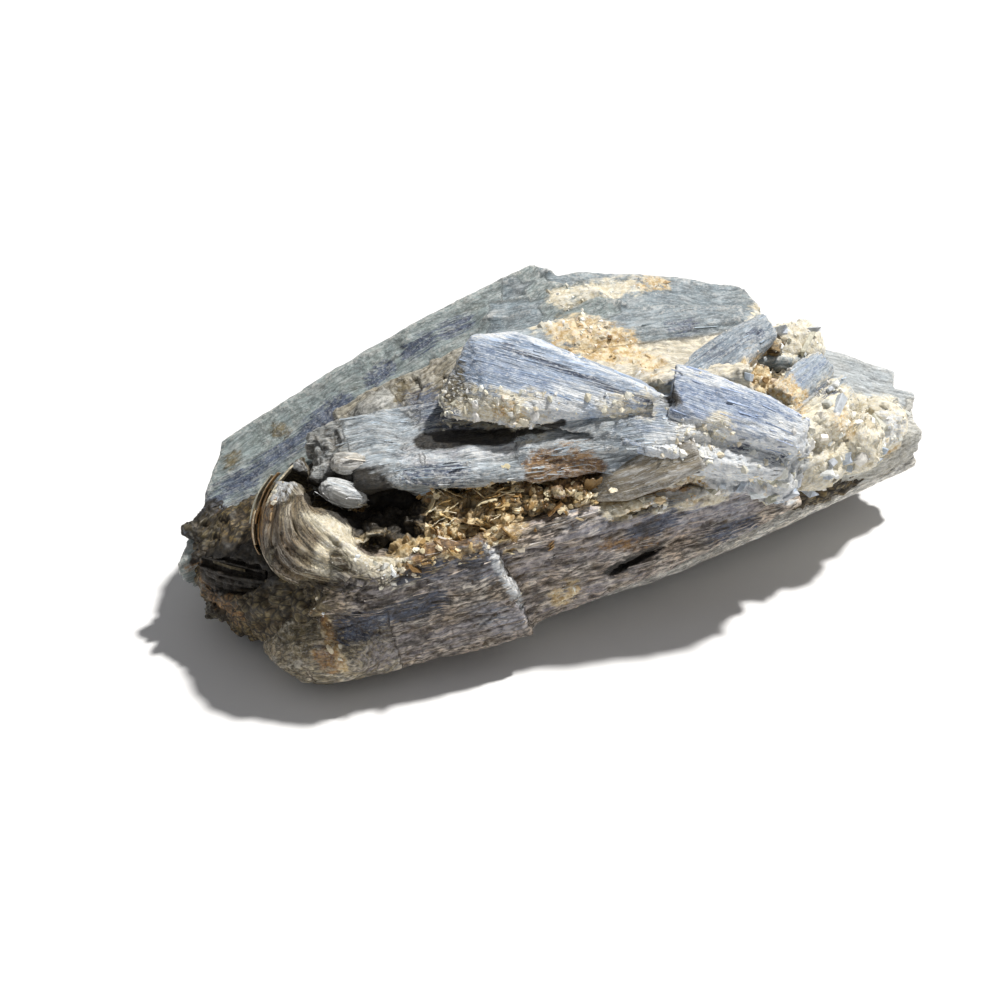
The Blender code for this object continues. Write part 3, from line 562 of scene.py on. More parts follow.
class Grown:
    """The blades and lumps that make the specimen, and the hollows worn out of it."""

    def __init__(self):
        self.ingredients = collection("ingredients")
        self.hollow = False
        self.names = []
        self.boxes = []
        self.grains = []
        self.family = None
        self.families = 0
        self.hollows = []
        self.rng = random.Random(SEED)

    def blade(self, name, start, end, width, thick, roll=0.0, taper=(1, 1), skew=(0, 0), pinch=END_PINCH):
        """A tabular crystal from start to end.

        taper scales its section at the end, skew slants its two ends and pinch narrows each of them.
        """
        rotation = blade_frame(start, end, roll)
        length = (Vector(end) - Vector(start)).length
        bm = bmesh.new()
        bmesh.ops.create_cube(bm, size=1.0)
        long_edges = [e for e in bm.edges if abs(e.verts[0].co.x - e.verts[1].co.x) > 0.5]
        settings = dict(offset=BLADE_CHAMFER, segments=1, profile=0.5, affect="EDGES", material=-1)
        bmesh.ops.bevel(bm, geom=long_edges, **settings)
        long_edges = [e for e in bm.edges if abs(e.verts[0].co.x - e.verts[1].co.x) > 0.5]
        bmesh.ops.subdivide_edges(bm, edges=long_edges, cuts=2, use_grid_fill=True)
        ragged = [self.rng.uniform(-END_SLANT, END_SLANT) for _ in range(4)]
        for vert in bm.verts:
            share = vert.co.x + 0.5
            slant_y = (skew[0] + ragged[0]) * (1 - share) + (skew[1] + ragged[1]) * share
            slant_z = ragged[2] * (1 - share) + ragged[3] * share
            rough = [self.rng.uniform(-BLADE_ROUGHNESS, BLADE_ROUGHNESS) for _ in range(2)]
            narrow = 1 - (1 - pinch[share > 0.5]) * abs(2 * share - 1) ** 3
            vert.co.x = vert.co.x * length + slant_y * vert.co.y * width + slant_z * vert.co.z * width
            vert.co.y *= narrow * width * (1 + (taper[0] - 1) * share + rough[0])
            vert.co.z *= narrow * thick * (1 + (taper[1] - 1) * share + rough[1])
        middle = (Vector(start) + Vector(end)) / 2
        bmesh.ops.transform(bm, matrix=Matrix.Translation(middle) @ rotation.to_4x4(), verts=bm.verts)
        self.keep(bm, name, middle, rotation, (length, width, thick))

    def sheaf(self, name, start, end, width, thick, roll=0.0, count=4, spread=0.3, stagger=1.6, **shape):
        """Parallel blades grown side by side, with uneven ends and faces. shape goes to each blade."""
        taper, skew = shape.get("taper", (1, 1)), shape.get("skew", (0, 0))
        rotation = blade_frame(start, end, roll)
        along, across, out = (Vector(column) for column in rotation.transposed())
        self.families += 1
        self.family = (np.array(start), np.array(rotation), self.families)
        for number in range(count):
            share = (number + 0.5) / count - 0.5
            proud = out * self.rng.uniform(-spread, spread)
            near = Vector(start) + across * share * width + proud
            far = Vector(end) + across * share * width * taper[0] + proud
            near += along * (skew[0] * share * width + self.rng.uniform(-stagger, stagger))
            far += along * (skew[1] * share * width + self.rng.uniform(-stagger, stagger))
            own_roll = roll + self.rng.uniform(-SHEAF_ROLL, SHEAF_ROLL)
            own_width = width / count * SHEAF_OVERLAP
            self.blade(f"{name}_{number + 1}", near, far, own_width, thick, own_roll, **shape)
        self.family = None

    def lump(self, name, centre, size, turn=0.0, lean=0.0):
        """A rounded, faceted grain."""
        rotation = Matrix.Rotation(math.radians(turn), 3, "Z") @ Matrix.Rotation(math.radians(lean), 3, "Y")
        rough = HOLLOW_ROUGHNESS if self.hollow else LUMP_ROUGHNESS
        bm = bmesh.new()
        bmesh.ops.create_icosphere(bm, subdivisions=2, radius=0.5)
        for vert in bm.verts:
            vert.co *= 1 + self.rng.uniform(-rough, rough)
            vert.co = Vector(c * s for c, s in zip(vert.co, size))
        matrix = Matrix.Translation(Vector(centre)) @ rotation.to_4x4()
        bmesh.ops.transform(bm, matrix=matrix, verts=bm.verts)
        self.keep(bm, name, Vector(centre), rotation, size)

    def crystal(self, name, points, start, end, roll=0.0):
        """A crystal with the flat faces of the hull of its corners. start and end give its grain."""
        bm = bmesh.new()
        for point in points:
            bm.verts.new(point)
        bmesh.ops.convex_hull(bm, input=bm.verts)
        rotation = blade_frame(start, end, roll)
        corners = [Vector(p) for p in points]
        middle = sum(corners, Vector()) / len(corners)
        local = [rotation.transposed() @ (p - middle) for p in corners]
        size = [2 * max(abs(p[i]) for p in local) for i in range(3)]
        self.keep(bm, name, middle, rotation, size)

    def keep(self, bm, name, middle, rotation, size):
        """Stores a bmesh as a hidden ingredient, with the way its grain runs."""
        bmesh.ops.recalc_face_normals(bm, faces=bm.faces)
        obj = bpy.data.objects.new(name, mesh_from(bm, name))
        self.ingredients.objects.link(obj)
        if self.hollow:
            self.hollows.append(obj)
            return
        self.names.append(name)
        self.boxes.append((np.array(middle), np.array(rotation), np.array(size) / 2))
        if self.family is None:
            self.families += 1
        self.grains.append(self.family or (np.array(middle), np.array(rotation), self.families))

    def trait(self, trait, index):
        """One trait of each point's crystal. index holds the crystals' numbers."""
        return np.array([getattr(kind_of(name), trait) for name in self.names])[index]

    def starting(self, starts, index):
        """Whether the name of each point's crystal starts so."""
        return np.array([name.startswith(starts) for name in self.names])[index]


def grow_heart(grown):
    """The mass inside, as a skin over its cross-sections."""
    bm = bmesh.new()
    rings = []
    for x, front, back, under, top in HEART_SECTIONS:
        wide, tall = back - front, top - under
        outline = [
            (front, under + HEART_CORNER * tall),
            (front + HEART_CORNER * wide, under),
            (back - HEART_CORNER * wide, under),
            (back, under + HEART_CORNER * tall),
            (back, top - HEART_CORNER * tall),
            (back - HEART_CORNER * wide, top),
            (front + HEART_CORNER * wide, top),
            (front, top - HEART_CORNER * tall),
        ]
        ring = [bm.verts.new((x, y, z)) for y, z in outline]
        rings.append([bm.edges.new(pair) for pair in zip(ring, ring[1:] + ring[:1])])
    for near, far in zip(rings, rings[1:]):
        bmesh.ops.bridge_loops(bm, edges=near + far)
    for ring in (rings[0], rings[-1]):
        bmesh.ops.edgeloop_fill(bm, edges=ring)
    grown.keep(bm, "heart", Vector((0, 0, 12)), Matrix.Identity(3), HEART_GRAIN_SIZE)


def grow_back_plate_and_crown(grown):
    """The broad plate that climbs the back left, the blades along the top and those of the back face."""
    plate = dict(roll=26, count=4, spread=0.2, stagger=0.8, skew=(0.95, -0.6), pinch=(0.86, 0.6))
    grown.sheaf("back_plate", (-45.2, 12.4, 12.0), (7, 14.0, 32.2), 13, 9, **plate)
    crown = dict(roll=20, count=4, taper=(0.85, 0.95), skew=(0.2, -0.5), pinch=(0.25, 0.8))
    grown.sheaf("crown", (-5.5, 11.8, 30.8), (32.2, 5.6, 24.2), 16, 7.6, **crown)
    grown.blade("crown_blade", (-9, 7.8, 31.0), (27, 4.4, 29.2), 5.5, 4, roll=24, pinch=(0.5, 0.6))
    grown.sheaf("trough_bank", (-10, 4.5, 28.2), (24, -2.5, 27.0), 11, 5.5, roll=-4, count=3)
    grown.sheaf("plate_foot", (-29, 7.0, 21.6), (-9, 5.6, 28.6), 8, 5, roll=18, count=3)
    grown.lump("pale_knob", (-24.0, 6.6, 25.6), (6.5, 4.5, 4.5), turn=10, lean=-20)
    back_low = dict(roll=96, count=5, spread=0.6, stagger=5, taper=(0.7, 0.9), pinch=(0.5, 0.5))
    grown.sheaf("back_low", (-34, 13.0, 10.0), (29, 10.5, 9.5), 15, 8, **back_low)
    back_high = dict(roll=72, count=4, spread=0.6, stagger=4, taper=(0.8, 0.8), pinch=(0.6, 0.6))
    grown.sheaf("back_high", (-22, 14.0, 19), (30, 9.5, 20.5), 11, 8, **back_high)
    belly = dict(count=4, spread=0.6, stagger=4, taper=(0.7, 0.9), pinch=(0.6, 0.6))
    grown.sheaf("belly", (-32, 1.0, 3.6), (36, 0.5, 5.6), 18, 7, **belly)


def grow_wedge_and_shelf(grown):
    """The tall wedge, the blue blade it breaks into, and the long shelf beneath them."""
    wedge = (
        (-12.3, 2.2, 37.6),
        (-6.8, 1.6, 37.2),
        (3.0, -8.6, 34.2),
        (7.3, -12.3, 32.6),
        (-12.8, -3.6, 33.4),
        (-10.5, -6.4, 32.2),
        (-3.4, -9.8, 30.9),
        (-18.0, -0.4, 31.0),
        (-17.6, -2.6, 29.3),
        (-9.9, -7.7, 29.2),
        (4.4, -11.7, 30.2),
        (-8.0, 7.0, 33.0),
        (8.0, -5.0, 30.0),
        (-16.0, 5.0, 27.0),
    )
    grown.crystal("wedge", wedge, (-12, 1, 37), (7, -12, 33), roll=35)
    blue = dict(roll=33, taper=(0.85, 0.85), pinch=(0.92, 0.7))
    grown.blade("blue_blade", (9.6, -9.9, 30.7), (23.9, -18.8, 26.0), 7.5, 5, **blue)
    foot = dict(roll=30, count=2, pinch=(0.7, 0.7))
    grown.sheaf("blue_blade_foot", (4, -11.0, 28.0), (21, -17.5, 23.5), 7, 5, **foot)
    shelf = dict(roll=14, count=3, spread=0.2, pinch=(0.5, 0.8))
    grown.sheaf("shelf", (-29, 1.0, 24.2), (17, -11.4, 25.2), 12.5, 5.2, **shelf)
    shelf_back = dict(roll=42, count=2, spread=0.2, pinch=(0.5, 0.8))
    grown.sheaf("shelf_back", (-11.0, -6.8, 26.6), (13, -13.3, 28.1), 5.8, 5, **shelf_back)
    root = dict(roll=12, count=3, pinch=(0.6, 0.5))
    grown.sheaf("shelf_root", (-33, 4.0, 22.3), (-20, -0.9, 24.2), 9, 6.5, **root)
    pale = dict(roll=48, taper=(1.15, 1), pinch=(0.4, 0.8))
    grown.blade("pale_blade", (-7, -10.6, 19.2), (15, -12.8, 22.6), 5.8, 4.8, **pale)
    grown.lump("shelf_end", (20.0, -16.4, 19.6), (9, 7, 8), turn=-25, lean=15)
    grown.lump("shelf_end_low", (14.6, -15.2, 20.0), (8, 5.5, 6), turn=-15)
    grown.lump("shelf_end_far", (23.5, -15.5, 22.6), (6, 6, 6))


def grow_front(grown):
    """The slabs of the front face."""
    slab = dict(roll=84, count=5, skew=(0.45, -0.22), stagger=0.8, pinch=(0.6, 0.95))
    grown.sheaf("front_slab", (-39.0, -10.4, 10.0), (-14.8, -13.6, 12.6), 16.0, 9.0, **slab)
    far_slab = dict(roll=80, count=4, taper=(0.3, 0.8), pinch=(0.86, 0.6))
    grown.sheaf("front_slab_far", (-19, -12.4, 12.2), (23.5, -15.6, 16.0), 16.0, 8, **far_slab)
    under = dict(roll=66, count=2, spread=0.2, taper=(0.9, 0.75), pinch=(0.6, 0.7))
    grown.sheaf("under_blade", (-16, -10.6, 4.8), (47.0, -6.0, 10.2), 8.0, 8.5, **under)
    grown.lump("chin", (-36.4, -10.4, 5.8), (18, 13, 11), turn=-35, lean=-10)


def grow_left_fold(grown):
    """The folded blades at the left end."""
    grown.lump("fold_nose", (-36.8, -7.0, 18.6), (10.5, 9.5, 9.0), turn=-40, lean=12)
    grown.sheaf("fold_side", (-36.0, -6.0, 20.6), (-27.4, -14.2, 17.2), 6.5, 5.5, roll=25, count=2)
    grown.lump("fold_foot", (-34.5, -10.6, 13.8), (11, 8, 7), turn=-30)
    grown.sheaf("left_lip", (-48.4, 4.6, 12.0), (-38, 9.0, 14.2), 7, 3.6, roll=10, count=2)
    grown.blade("left_floor", (-48.0, 3.5, 6.4), (-38, -1.0, 6.4), 8, 4, roll=20)


def grow_right_end(grown):
    """The crumbly end where short blades stand in mica."""
    end_blade = dict(roll=12, count=3, taper=(0.7, 0.8), pinch=(0.7, 0.7))
    grown.sheaf("end_blade", (30, -4.5, 12.8), (49.2, -5.0, 12.2), 12.5, 9, **end_blade)
    end_slab = dict(roll=12, count=2, taper=(0.75, 0.8), pinch=(0.95, 0.8))
    grown.sheaf("end_slab", (28, 5.6, 20.6), (48.6, -2.4, 15.0), 8.5, 5, **end_slab)
    grown.blade("slant_blade", (12, -6.0, 27.6), (28.6, 0.3, 29.4), 5.5, 4.5, roll=24, pinch=(0.8, 0.7))
    grown.blade("short_blade", (26, -8.4, 24.4), (35.0, -3.4, 24.4), 4.6, 3.4, roll=30)
    grown.blade("short_blade_low", (24.5, -12.8, 22.2), (37.6, -6.6, 21.4), 5.4, 4, roll=30)
    crumbs = (
        ((31.5, -10.2, 20.4), (9, 8, 8), 20),
        ((36.5, -11.6, 16.8), (8, 8, 8.5), 40),
        ((41.5, -8.2, 16.0), (9, 8, 8), -20),
        ((34.0, 2.6, 23.6), (10, 8, 8), 15),
        ((30.0, -12.6, 16.0), (10, 7, 8), 10),
    )
    for number, (centre, size, turn) in enumerate(crumbs, start=1):
        grown.lump(f"crumb_{number}", centre, size, turn)


def wear_hollows(grown):
    """The pocket under the shelf, the crevices and the notches."""
    grown.hollow = True
    grown.lump("mica_pocket_1", (-27.0, -8.0, 19.8), (11, 13, 6.8), turn=-10)
    grown.lump("mica_pocket_2", (-19.5, -10.4, 20.8), (13, 11, 5.6), turn=-10)
    grown.lump("mica_pocket_3", (-11.5, -12.2, 21.6), (13, 9, 4.4), turn=-12)
    grown.lump("mica_pocket_4", (-3.0, -13.0, 22.8), (13, 7, 2.8), turn=-14)
    grown.blade("crevice", (-26, -0.8, 27.7), (1.0, -8.2, 29.3), 12, 1.9, roll=12, taper=(0.8, 0.3))
    cavity = dict(roll=-14, taper=(0.75, 0.55))
    grown.blade("left_cavity", (-51.0, 1.6, 11.0), (-40.5, -2.4, 12.4), 9.5, 4.6, **cavity)
    grown.lump("left_cavity_end", (-41.5, -3.4, 11.8), (6, 5, 3.6), turn=30)
    grown.blade("fold_gap", (-38.0, 0.6, 24.5), (-31.0, -3.6, 19.6), 2.4, 7.0, roll=30, taper=(0.7, 0.6))
    grown.blade("blade_notch", (7.6, -15.0, 33.4), (9.2, -7.0, 33.4), 1.3, 5.0)
    grown.blade("front_crack", (-2.0, -17.0, 11.0), (6.0, -16.4, 13.2), 3.0, 0.8, roll=10)
    grown.blade("pale_blade_crack", (-2.0, -15.6, 18.6), (12.0, -17.2, 20.2), 3.0, 0.9, roll=10)


def fill_hollows(grown):
    """What stands free inside the hollows: mica books, white grains and thin torn sheets."""
    grown.hollow = False
    random_share = grown.rng.uniform
    pocket_start, pocket_end = Vector((-31, -6.2, 18.0)), Vector((-2, -11.4, 21.8))
    for book in range(MICA_BOOKS):
        share = book / (MICA_BOOKS - 1)
        base = pocket_start.lerp(pocket_end, share)
        base += Vector((0, random_share(-2.6, 1.0), random_share(-1.2, 1.6) * (1 - 0.6 * share)))
        lie = Vector((random_share(0.6, 1), random_share(-1, 0.3), random_share(-0.5, 0.9)))
        reach = lie.normalized() * random_share(1.6, 2.8)
        wide, thick, roll = random_share(2.2, 4.2), random_share(0.8, 1.3), random_share(-60, 60)
        grown.blade(f"mica_book_{book + 1}", base - reach, base + reach, wide, thick, roll)
    for sheet in range(TORN_SHEETS):
        shift = 1.5 * sheet
        start = (-43.0, 1.5 - shift, 17.4)
        end = (-33.6, 4.0 - 0.7 * shift, 24.2)
        grown.blade(f"rim_sheet_{sheet + 1}", start, end, 6.5, 1.1, roll=62)
        level = 9.4 + 1.6 * sheet
        start = (-48.0, 3.4, level)
        end = (-40.0, -2.6, level)
        grown.blade(f"cavity_sheet_{sheet + 1}", start, end, 6.5, 0.9, roll=8)
    grown.lump("white_grain", (-31.8, -3.6, 22.6), (6.4, 3.6, 3.4), turn=-24, lean=22)
    grown.lump("white_grain_high", (-30.0, -1.2, 24.8), (5.4, 3.2, 2.8), turn=-12, lean=10)


def smooth_row(row, steps):
    """Points at even steps on the smooth curve through a row of places."""
    row = np.array(row, float)
    ends = np.concatenate([[2 * row[0] - row[1]], row, [2 * row[-1] - row[-2]]])
    curve = []
    for step in range(steps):
        place = step / (steps - 1) * (len(row) - 1)
        first = min(int(place), len(row) - 2)
        t = place - first
        before, start, end, after = ends[first : first + 4]
        square = 2 * before - 5 * start + 4 * end - after
        cube = 3 * start - before - 3 * end + after
        curve.append(start + 0.5 * ((end - before) * t + (square * t * t + cube * t**3)))
    return np.array(curve)


def leaf_mesh(bm, front, insets, aside, depth, thick):
    """A curved sheet whose front edge runs along the points of front, set in by insets.

    aside is the way it is thick.
    """
    rings = []
    for place, near, across in zip(front, insets, aside):
        edge = place + near * np.array(INWARD)
        back = place + depth * np.array(INWARD)
        corners = (edge - 0.3 * across * thick, edge + 0.3 * across * thick)
        corners += (back + 0.5 * across * thick, back - 0.5 * across * thick)
        ring = [bm.verts.new(corner) for corner in corners]
        rings.append([bm.edges.new(pair) for pair in zip(ring, ring[1:] + ring[:1])])
    for near, far in zip(rings, rings[1:]):
        bmesh.ops.bridge_loops(bm, edges=near + far)
    for ring in (rings[0], rings[-1]):
        bmesh.ops.edgeloop_fill(bm, edges=ring)
    bmesh.ops.recalc_face_normals(bm, faces=bm.faces)


class Layers:
    """Curved layers side by side, as a surface with a place along and a place across them."""

    STEPS = 44

    def __init__(self, name, rows, count, depth, fullness, unevenness):
        self.name, self.count, self.depth = name, count, depth
        self.fullness, self.unevenness = fullness, unevenness
        rows = [smooth_row(row, self.STEPS) for row in rows]
        shares = np.linspace(0, 1, 4 * count + 1)
        self.surface = np.array([self.between(rows, share) for share in shares])

    @staticmethod
    def between(rows, share):
        """The row at a share of the way across, on the smooth curve through the three rows."""
        outer, middle, inner = rows
        first, last = (1 - share) * (1 - 2 * share), share * (2 * share - 1)
        return first * outer + 4 * share * (1 - share) * middle + last * inner

    def aside(self, number):
        """Which way the layer is thick, at each step along it."""
        low, high = max(number - 1, 0), min(number + 1, len(self.surface) - 1)
        across = self.surface[high] - self.surface[low]
        return across / np.linalg.norm(across, axis=1)[:, None]

    def grow(self, grown):
        for layer in range(self.count):
            number = 4 * layer + 2
            gaps = self.surface[number + 2] - self.surface[number - 2]
            thick = self.fullness * float(np.linalg.norm(gaps, axis=1).mean())
            insets = np.full(self.STEPS, self.unevenness * grown.rng.uniform(-0.5, 0.4))
            for step in range(self.STEPS):
                wave = math.sin(0.3 * step + 2.1 * layer) + 0.5 * math.sin(0.9 * step + 1.3 * layer)
                insets[step] += 0.3 * self.unevenness * wave * grown.rng.random()
            bm = bmesh.new()
            leaf_mesh(bm, self.surface[number], insets, self.aside(number), self.depth, thick)
            middle = Vector(self.surface[number].mean(axis=0))
            side = ("outer", "middle", "inner")[min(3 * layer // self.count, 2)]
            grown.keep(bm, f"{self.name}_{side}_{layer + 1}", middle, Matrix.Identity(3), (8, 8, 8))

    def grain(self, points):
        """Each point's place along, across and into the layers, in mm."""
        flat = self.surface.reshape(-1, 3)
        nearest = np.empty(len(points), int)
        for start in range(0, len(points), 4000):
            part = points[start : start + 4000]
            gap = ((part[:, None, :] - flat[None]) ** 2).sum(axis=2)
            nearest[start : start + 4000] = gap.argmin(axis=1)
        row, step = np.divmod(nearest, self.STEPS)
        along = np.gradient(self.surface, axis=1)[row, step]
        across = np.gradient(self.surface, axis=0)[row, step]
        away = points - self.surface[row, step]
        length, width = np.linalg.norm(along, axis=1), np.linalg.norm(across, axis=1)
        t = (step + (away * along).sum(axis=1) / length**2) * float(length.mean())
        u = (row + (away * across).sum(axis=1) / width**2) * float(width.mean())
        return np.stack([t, u, away @ np.array(INWARD)], 1)


# ---------------------------------------------------------------- surface patterns

LATTICE = tuple(product((0, 1), repeat=3))
SLOPES = np.array([v for v in product((-1, 0, 1), repeat=3) if sum(abs(c) for c in v) == 2], float)


def scattered(cell, seed):
    """A large random whole number for each lattice cell."""
    mixed = cell[:, 0] * 374761393 + cell[:, 1] * 668265263 + cell[:, 2] * 2147483647 + seed * 1274126177
    mixed = (mixed ^ (mixed >> 13)) * 1103515245
    return (mixed ^ (mixed >> 16)) & 0x7FFFFFFF


def waves(points, seed):
    """Smooth noise between about -1 and 1."""
    cell = np.floor(points).astype(np.int64)
    rest = points - cell
    fade = rest * rest * rest * (rest * (rest * 6 - 15) + 10)
    total = np.zeros(len(points))
    for corner in LATTICE:
        step = np.array(corner)
        slope = SLOPES[scattered(cell + step, seed) % len(SLOPES)]
        weight = np.where(step == 1, fade, 1 - fade).prod(axis=1)
        total += weight * ((rest - step) * slope).sum(axis=1)
    return total * 1.1


def crumbled(points, seed):
    """Angular grains, each with a flat tilted top: the height at each point and how near a seam it lies."""
    cell = np.floor(points).astype(np.int64)
    nearest = np.full(len(points), 9.0)
    second = np.full(len(points), 9.0)
    height = np.zeros(len(points))
    for step in product((-1, 0, 1), repeat=3):
        other = cell + np.array(step)
        draws = scattered(other, seed)
        centre = other + np.stack([draws & 1023, (draws >> 10) & 1023, (draws >> 20) & 1023], 1) / 1024
        tilt = np.stack([(draws >> 5) & 255, (draws >> 12) & 255, (draws >> 17) & 255], 1) / 128 - 1
        away = points - centre
        gap = np.linalg.norm(away, axis=1)
        closer = gap < nearest
        second = np.where(closer, nearest, np.minimum(second, gap))
        nearest = np.where(closer, gap, nearest)
        top = (draws % 997) / 997 - 0.5 + 0.9 * (away * tilt).sum(axis=1)
        height = np.where(closer, top, height)
    seam = 1 - np.clip((second - nearest) / 0.16, 0, 1)
    return height, seam


def terraced(value, tread):
    """Rounds a smooth value into flat treads with short risers."""
    whole = np.floor(value / tread)
    rest = value / tread - whole
    return (whole + np.clip((rest - 0.36) / 0.28, 0, 1)) * tread


def ease(value, low, high):
    share = np.clip((value - low) / (high - low), 0, 1)
    return share * share * (3 - 2 * share)


class Net:
    """The edges of a mesh, for averaging values over each vertex's neighbours."""

    def __init__(self, mesh):
        pairs = np.empty(len(mesh.edges) * 2, np.int32)
        mesh.edges.foreach_get("vertices", pairs)
        self.at = np.concatenate([pairs[::2], pairs[1::2]])
        self.near = np.concatenate([pairs[1::2], pairs[::2]])
        self.count = np.bincount(self.at, minlength=len(mesh.vertices))

    def spread(self, values, rounds):
        values = np.array(values, float)
        columns = values.reshape(len(values), -1)
        for _ in range(rounds):
            for column in range(columns.shape[1]):
                total = np.bincount(self.at, columns[self.near, column], len(columns))
                columns[:, column] = (columns[:, column] + total) / (1 + self.count)
        return columns.reshape(values.shape)


def vertex_values(mesh, name, width):
    values = np.empty(len(mesh.vertices) * width)
    mesh.vertices.foreach_get(name, values)
    return values.reshape(-1, width)


def near_grain(points, grains, numbers):
    """For each point the number of the crystal whose box it lies nearest to."""
    best = np.full(len(points), np.inf)
    index = np.zeros(len(points), int)
    for number in numbers:
        middle, rotation, half = grains[number]
        local = (points - middle) @ rotation
        outside = np.abs(local) - half
        depth = np.minimum(outside.max(axis=1), 0)
        gap = np.linalg.norm(np.maximum(outside, 0), axis=1) + 0.3 * depth
        gap += HEART_SET_BACK if number == 0 else 0.0
        closer = gap < best
        best[closer], index[closer] = gap[closer], number
    return index


def stain_strength(points, normals, spots):
    """How strongly the named spots reach each point, from 0 in the open to about 1 at their middle.

    A spot reaches further into the stone than it spreads over its face.
    """
    strength = np.zeros(len(points))
    for start, end, radius, power in spots:
        start, way = np.array(start), np.array(end) - np.array(start)
        share = np.clip(((points - start) @ way) / max(way @ way, 1e-9), 0, 1)
        gap = points - start - share[:, None] * way
        deep = (gap * normals).sum(axis=1)[:, None] * normals
        reach = np.linalg.norm(gap - 0.6 * deep, axis=1)
        strength = np.maximum(strength, power * ease(-reach, -1.6 * radius, -0.1 * radius))
    return strength


# ---------------------------------------------------------------- fine skins


def apply_modifiers(obj):
    """Replaces an object's mesh by the mesh its modifiers make of it."""
    bpy.context.view_layer.update()
    graph = bpy.context.evaluated_depsgraph_get()
    made = bpy.data.meshes.new_from_object(obj.evaluated_get(graph), depsgraph=graph)
    obj.modifiers.clear()
    obj.data = made


def boolean(obj, operation, group):
    modifier = obj.modifiers.new(operation.lower(), "BOOLEAN")
    modifier.operation = operation
    modifier.solver = "EXACT"
    modifier.operand_type = "COLLECTION"
    modifier.collection = group


def drop_scraps(mesh, least):
    """Removes loose bits of fewer than least vertices."""
    bm = bmesh.new()
    bm.from_mesh(mesh)
    unseen = set(bm.verts)
    scraps = []
    while unseen:
        body = [unseen.pop()]
        for vert in body:
            for edge in vert.link_edges:
                other = edge.other_vert(vert)
                if other in unseen:
                    unseen.remove(other)
                    body.append(other)
        if len(body) < least:
            scraps += body
    bmesh.ops.delete(bm, geom=scraps, context="VERTS")
    bm.to_mesh(mesh)
    bm.free()


def fine_mesh(name, members, hollows, voxel):
    """The joined crystals of one skin, less the hollows, with an even fine mesh."""
    first = members[0]
    skin = in_scene(name, first.data.copy())
    if len(members) > 1:
        others = collection(name + "_others")
        for member in members[1:]:
            others.objects.link(member)
        boolean(skin, "UNION", others)
    boolean(skin, "DIFFERENCE", hollows)
    even = skin.modifiers.new("even", "REMESH")
    even.mode = "VOXEL"
    even.voxel_size = voxel
    wear = skin.modifiers.new("wear", "SMOOTH")
    wear.factor = 0.5
    wear.iterations = 2
    apply_modifiers(skin)
    drop_scraps(skin.data, LEAST_SKIN_VERTICES)
    return skin


def heal_grooves(mesh, share):
    """Fills the grooves between crystals that have grown into one another."""
    points = vertex_values(mesh, "co", 3)
    normals = vertex_values(mesh, "normal", 3)
    net = Net(mesh)
    for rounds in HEALING_ROUNDS:
        level = net.spread(points, rounds)
        rise = ((level - points) * normals).sum(axis=1)
        points += normals * (share * np.maximum(rise, 0))[:, None]
    set_points(mesh, net.spread(points, 2))


def grain_places(points, grown, curved, index):
    """Each point's place along its crystal's grain, the way that grain runs and its family's number."""
    middles, rotations, families = (np.array(part)[index] for part in zip(*grown.grains))
    local = np.einsum("ni,nij->nj", points - middles, rotations)
    for layers in curved:
        leaves = grown.starting(layers.name, index)
        if leaves.any():
            local[leaves] = layers.grain(points[leaves])
            families[leaves] = 0
    return local, rotations[:, :, 0], families


